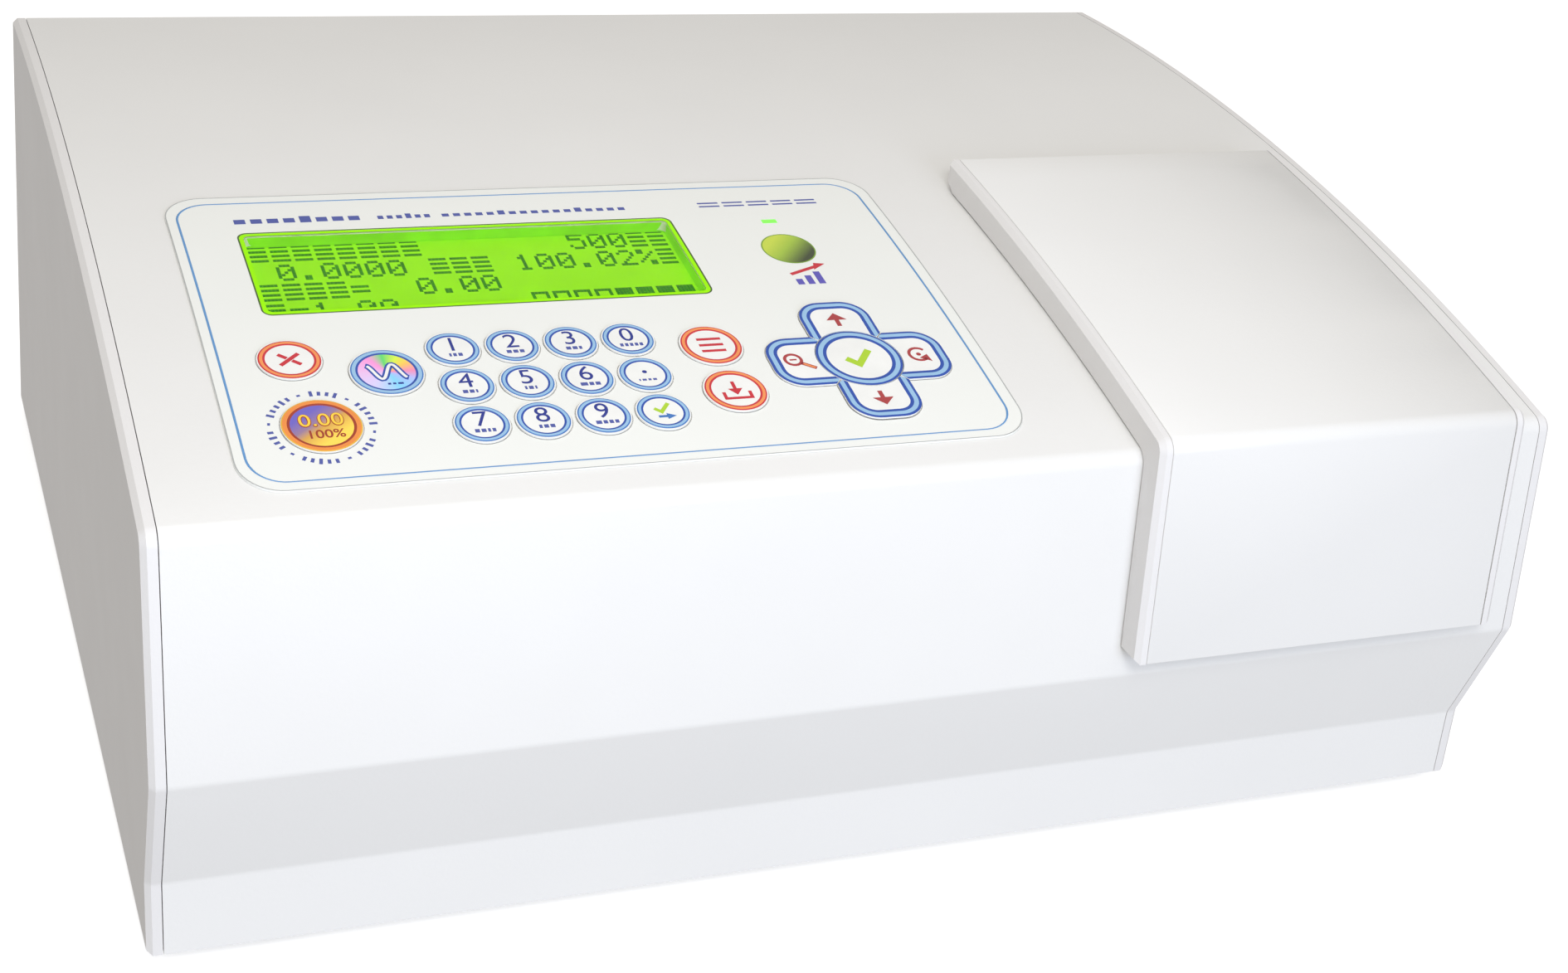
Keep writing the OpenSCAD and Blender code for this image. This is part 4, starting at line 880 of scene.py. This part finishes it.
# %% [markdown]
# ## Marks on the film
# The header of the film and the circle round the zero key are rows of short bars. Each is the same bar
# at many places, so Geometry Nodes puts one bar on every point of a point mesh and turns it by an
# attribute. Two small icons under the green lamp are a shaded dot and a bar chart with a rising arrow.

# %% Bars on points
def named_vector(tree, name):
    made = node(tree, "GeometryNodeInputNamedAttribute", data_type="FLOAT_VECTOR")
    made.inputs["Name"].default_value = name
    return made

def mark_tree(name, material):
    tree, source, result = new_tree(name, Mark_length=0.002, Mark_width=0.0004, Mark_height=0.00004)
    bar = tree.nodes.new("GeometryNodeMeshCube")
    size = tree.nodes.new("ShaderNodeCombineXYZ")
    place = tree.nodes.new("GeometryNodeInstanceOnPoints")
    turn, stretch = named_vector(tree, "turn"), named_vector(tree, "stretch")
    wire(tree,
         (source, "Mark length", size, "X"),
         (source, "Mark width", size, "Y"),
         (source, "Mark height", size, "Z"),
         (size, "Vector", bar, "Size"),
         (source, "Geometry", place, "Points"),
         (bar, "Mesh", place, "Instance"),
         (turn, "Attribute", place, "Rotation"),
         (stretch, "Attribute", place, "Scale"))
    painted = set_material(tree, place.outputs["Instances"], material)
    tree.links.new(painted, result.inputs["Geometry"])
    return tree

def point_marks(name, marks, material, body, length, width):
    """marks are (frame in millimetres, (x, y, z) stretch); every one becomes a bar."""
    mesh = bpy.data.meshes.new(name)
    mesh.from_pydata([place.translation*MM for place, s in marks], [], [])
    turn = mesh.attributes.new("turn", "FLOAT_VECTOR", "POINT")
    stretch = mesh.attributes.new("stretch", "FLOAT_VECTOR", "POINT")
    for i, (place, s) in enumerate(marks):
        turn.data[i].vector = place.to_euler("XYZ")
        stretch.data[i].vector = s
    points = add_object(name + "_points", mesh)
    add_tree(points, mark_tree(name + "_tree", material), Mark_length=length, Mark_width=width)
    piece = as_plain_mesh(points, name)
    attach(piece, body)

# %% Circle round the zero key
FILM = 0.52                        # height of a mark above the skin
WORDS = (5, 4)*3                   # letters in each word round the zero key
WORD_GAP, CIRCLE_R = 2.2, 12.7
letter_turn = 2*pi/(sum(WORDS) + WORD_GAP*len(WORDS))
slots = []
at = 0.0
for letters in WORDS:
    slots += [(at + i, 0.0) for i in range(letters)] + [(at + letters + 0.6, pi/2)]
    at += letters + WORD_GAP

def circle_mark(j, i, across):
    """Mark number j, i letters round the circle; a dash between two words stands across."""
    x, behind = KEY_AT["zero"]
    a = i*letter_turn
    tall = 1 + 0.35*(j*5 % 3 == 0)
    place = on_skin(x + CIRCLE_R*cos(a), behind + CIRCLE_R*sin(a), FILM, a + across)
    return place, ((0.62, 0.8, 1) if across else (tall, 1, 1))

ring_marks = [circle_mark(j, i, across) for j, (i, across) in enumerate(slots)]
point_marks("print_zero_marks", ring_marks, "ink_slate", "case", 0.0015, 0.00085)

# %% Header of the film
def letter_row(start, letters, pitch, behind, width, height):
    """Upright bars at even steps, some taller, as a line of small lettering looks from afar."""
    row = []
    for i in range(letters):
        tall = 1 if (i*5 + letters) % 7 == 0 else 0
        place = on_skin(start + pitch*i, behind + 0.35*tall, FILM)
        row.append((place, (width, height*(1 + 0.45*tall), 1)))
    return row

header = letter_row(-153.4, 8, 4.5, 125.4, 3.1, 2.4)
header += letter_row(-114.5, 6, 2.65, 125.2, 1.6, 1.8)
header += letter_row(-96.0, 17, 3.25, 125.2, 2.0, 1.6)
header += [(on_skin(-17.0 + 7.7*i, 124.6 + 1.9*k, FILM), (6.4, 0.7, 1)) for k in range(2) for i in range(5)]
point_marks("print_header", header, "ink_slate", "case", 0.001, 0.001)

# %% Icons under the lamp
DOT_AT, CHART_AT, ICON_LIFT = (-1.6, 99.3), (-0.3, 85.6), 0.5
THIN = 0.03                        # height of an ink above the film
blend_ink("ink_meadow", skin_centre(*DOT_AT, ICON_LIFT), (55, -50, 0), [
    (0.1, srgb(196, 212, 70)), (0.45, srgb(160, 190, 60)),
    (0.75, srgb(108, 130, 52)), (0.95, srgb(60, 70, 40))])
dot = [disc(7.6, THIN, "ink_meadow"), ring(7.6, 8.0, THIN, 0.02, "ink_leaf")]
printed("print_dot", dot, on_skin(*DOT_AT, ICON_LIFT), "case")
columns = ((-4.2, -2.2), (-1.0, -0.6), (2.2, 1.2))
chart = [stroke([(x, -5.0), (x, top)], 2.0, THIN, "ink_violet") for x, top in columns]
chart += [stroke([(-5.6, 0.4), (3.6, 4.0)], 1.2, THIN, "ink_red"),
          poly([(6.4, 5.0), (2.2, 2.2), (3.1, 5.6)], THIN, "ink_red")]
printed("print_chart", chart, on_skin(*CHART_AT, ICON_LIFT), "case")
print("marks on the film:", len(ring_marks) + len(header))

# %% [markdown]
# ## Display
# The display shows four lines of twenty characters. Each character is a grid of five by seven dots, and
# only the dots that are on are made, as points that carry one small bar each. The characters are plain
# readings and a bar of eight boxes, and a word is a run of cells with four lines each. They lie on the
# glass, below the window, so the front edge of the window hides a little of the last line, as it does
# on a real one.

# %% Characters
DOTS = {"0": "0E11131519110E", "1": "040C040404040E", "2": "0E11010204081F", "3": "1F02040201110E",
        "4": "02060A121F0202", "5": "1F101E0101110E", "8": "0E11110E11110E", "9": "0E11110F01020C",
        ".": "00000000000C0C", "=": "00001F001F0000", "%": "18190204081303", " ": "00000000000000",
        "o": "1F11111111111F", "b": "1F1F1F1F1F1F1F", "~": "1F001F001F001F"}
LINES = ["~~~~~~~~       500~~", " 0.0000 ~~~ 100.02%~", "~~~~=  0.00         ", "~=1.00      oooobbbb"]
CELLS, ROWS, WIDE, TALL = 20, 4, 5, 7
PITCH_X, PITCH_Y, DOT_X, DOT_Y = 6.0, 9.75, 0.98, 1.16
GLASS = -3.4                       # the glass lies this far below the skin
WINDOW_X, WINDOW_BEHIND = -93.45, 98.8
window = on_skin(WINDOW_X, WINDOW_BEHIND)

def character_dots(letter, x0, y0):
    """The places of the dots that are on, in the cell whose first dot is at (x0, y0)."""
    made = []
    for j in range(TALL):
        bits = int(DOTS[letter][2*j:2*j + 2], 16)
        made += [(x0 + i*DOT_X, y0 - j*DOT_Y) for i in range(WIDE) if bits >> (WIDE - 1 - i) & 1]
    return made

dots = []
for row, line in enumerate(LINES):
    for column, letter in enumerate(line):
        x0 = (column - (CELLS - 1)/2)*PITCH_X - (WIDE - 1)/2*DOT_X
        y0 = ((ROWS - 1)/2 - row)*PITCH_Y + TALL/2*DOT_Y
        dots += character_dots(letter, x0, y0)
dot_marks = [(window @ Matrix.Translation((x, y, GLASS + THIN)), (1, 1, 1)) for x, y in dots]
point_marks("display_characters", dot_marks, "display_dots", "case", 0.00092, 0.0011)

# %% [markdown]
# The window's edge has a lime border that hides the ledge the clear film rests on and glows with the
# display's colour, painted light on a printed strip. A dark green hairline closes it, painted shade along
# the window's edge. Both follow the arc of the skin, so they are strips between two rounded outlines.

# %% Border of the window
WINDOW_X0, WINDOW_X1, WINDOW_Y0, WINDOW_Y1 = -155.2, -31.7, 78.7, 118.9

def window_outline(inset, radius):
    return WINDOW_X0 + inset, WINDOW_X1 - inset, WINDOW_Y0 + inset, WINDOW_Y1 - inset, radius

def skin_band(name, outer, inner, lift, ink):
    """A strip on the skin between two rounded rectangles, each (x0, x1, y0, y1, radius)."""
    a, b = round_path(*outer, lift), round_path(*inner, lift)
    n = len(a)
    faces = [(i, (i + 1) % n, (i + 1) % n + n, i + n) for i in range(n)]
    printed(name, [([tuple(p) for p in a + b], faces, ink)], Matrix.Identity(4), "case")

def liner(name, x, y, r, top, bottom, ink):
    """A thin wall round the inside of the opening, from just under the film down to the glass."""
    outline = [(x - r + r*cos(a), y - r + r*sin(a)) for a in (pi/2*i/6 for i in range(7))]
    outline += [(-p, q) for p, q in reversed(outline)]
    outline += [(-p, -q) for p, q in outline]
    points = [(p, q, z) for z in (top, bottom) for p, q in outline]
    printed(name, [(points, loop_faces(len(outline)), ink)], window, "case", WALL_THICK)

WALL_THICK, LEDGE = 0.00015, 1.24
half_x, half_y = (WINDOW_X1 - WINDOW_X0)/2, (WINDOW_Y1 - WINDOW_Y0)/2
# the liner glows with painted light, which lifts the shade on the wall inside the opening
liner("window_liner", half_x - LEDGE, half_y - LEDGE, 1.3, -0.35, -3.35, "display_edge")
# the lime border glows with the display's colour: painted light on a printed strip
skin_band("window_border", window_outline(0.15, 2.4), window_outline(1.3, 1.6), 0.48, "display_lime")
# the dark green hairline is painted shade along the window's edge
skin_band("window_hairline", window_outline(-0.3, 2.8), window_outline(0.1, 2.4), 0.53, "ink_moss")
print("display dots:", len(dots))

# %% [markdown]
# ## Slot numbers and rear label
# The carriage has a white figure beside each slot. The rear has a small foil plate with rows of bars
# where a rating plate would be, and a rivet at each end.

# %% Figures on the carriage
CARRIAGE_X, FIRST_SLOT_Y, SLOT_STEP, DECK_Z = 122.3, -91.393, 15.5, 80.4
BESIDE_SLOT = 11.6
carriage_low, carriage_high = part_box("cuvette_carriage")
for i in range(4):
    figure = str(i + 1)
    place = Matrix.Translation((CARRIAGE_X + BESIDE_SLOT, FIRST_SLOT_Y - SLOT_STEP*i, DECK_Z))
    printed("slot_figure_" + figure, [glyph(figure, 5.0, 0.05, "ink_white", (0, 0), 0.05)], place, "carriage")
print("carriage from", round(carriage_low.z/MM, 1), "to", round(carriage_high.z/MM, 1), "mm high")

# %% [markdown]
# The rear leans back from its foot, so it has a frame of its own, with Y up the slope and Z out of the
# panel. The rocker has a bar on its "on" half and a ring on its "off" half, and they ride with it.

# %% Rear label
LEAN = 0.24797                     # angle of the rear panel from upright, in radians
FOOT_Y, FOOT_Z = 173.607, 4

def on_rear(x, up):
    place = Matrix.Translation((x, FOOT_Y - up*sin(LEAN), FOOT_Z + up*cos(LEAN)))
    return place @ Matrix.Rotation(pi, 4, "Z") @ Matrix.Rotation(pi/2 - LEAN, 4, "X")

def plate(w, h, r, z, ink, steps=6):
    angles = [pi/2*i/steps for i in range(steps + 1)]
    corner = [(w/2 - r + r*cos(a), h/2 - r + r*sin(a)) for a in angles]
    outline = corner + [(-x, y) for x, y in reversed(corner)]
    return poly(outline + [(-x, -y) for x, y in outline], z, ink)

LABEL_ROWS = ((7, 5, 9, 4, 6), (4, 8, 3), (9, 4, 7, 6), (5, 5, 8, 3, 7), (6, 9, 4))
ROW_START, FIRST_ROW, ROW_STEP, WORD_STEP = -24, 10.5, 5.2, 1.6
label = [plate(62, 34, 3, 0.25, "label_foil")]
for row, widths in enumerate(LABEL_ROWS):
    centre = (ROW_START + row_length(widths, WORD_STEP)/2, FIRST_ROW - ROW_STEP*row)
    label.append(bars(widths, WORD_STEP, 1.5, 0.29, "ink_navy", centre))
for x in (-28.3, 28.3):
    label += [ring(0.8, 1.5, 0.75, 0.5, "turned_steel", (x, 0), 24),
              disc(0.8, 0.75, "turned_steel", (x, 0), 24)]
printed("rear_label", label, on_rear(0, 96), "case", 0.0002)

# %% Rocker marks
INLET_X, INLET_UP, ROCKER_UP, ROCKER_DEPTH = -120, 52, 17, 5.0
ROCKER_REST, HALF_TURN = radians(-7), 0.1544
HALF_MIDDLE, HALF_RISE = 4.8, 0.6 + 4.8*1.4/9
inlet = on_rear(INLET_X, INLET_UP)
axle = inlet @ Matrix.Translation((0, ROCKER_UP, -ROCKER_DEPTH)) @ Matrix.Rotation(ROCKER_REST, 4, "X")

def rocker_half(side):
    """Frame on the middle of one half of the rocker's face: 1 is the on half, -1 the off half."""
    middle_of_half = Matrix.Translation((0, HALF_MIDDLE*side, ROCKER_DEPTH + HALF_RISE))
    return axle @ middle_of_half @ Matrix.Rotation(HALF_TURN*side, 4, "X")

bar = poly([(-0.5, -1.8), (0.5, -1.8), (0.5, 1.8), (-0.5, 1.8)], THIN, "ink_white")
printed("rocker_on_mark", [bar], rocker_half(1), "rocker")
off_ring = ring(1.3, 2.0, THIN, THIN, "ink_white", (0, 0), 32)
printed("rocker_off_mark", [off_ring], rocker_half(-1), "rocker")
print("rear pieces: label and two rocker marks")
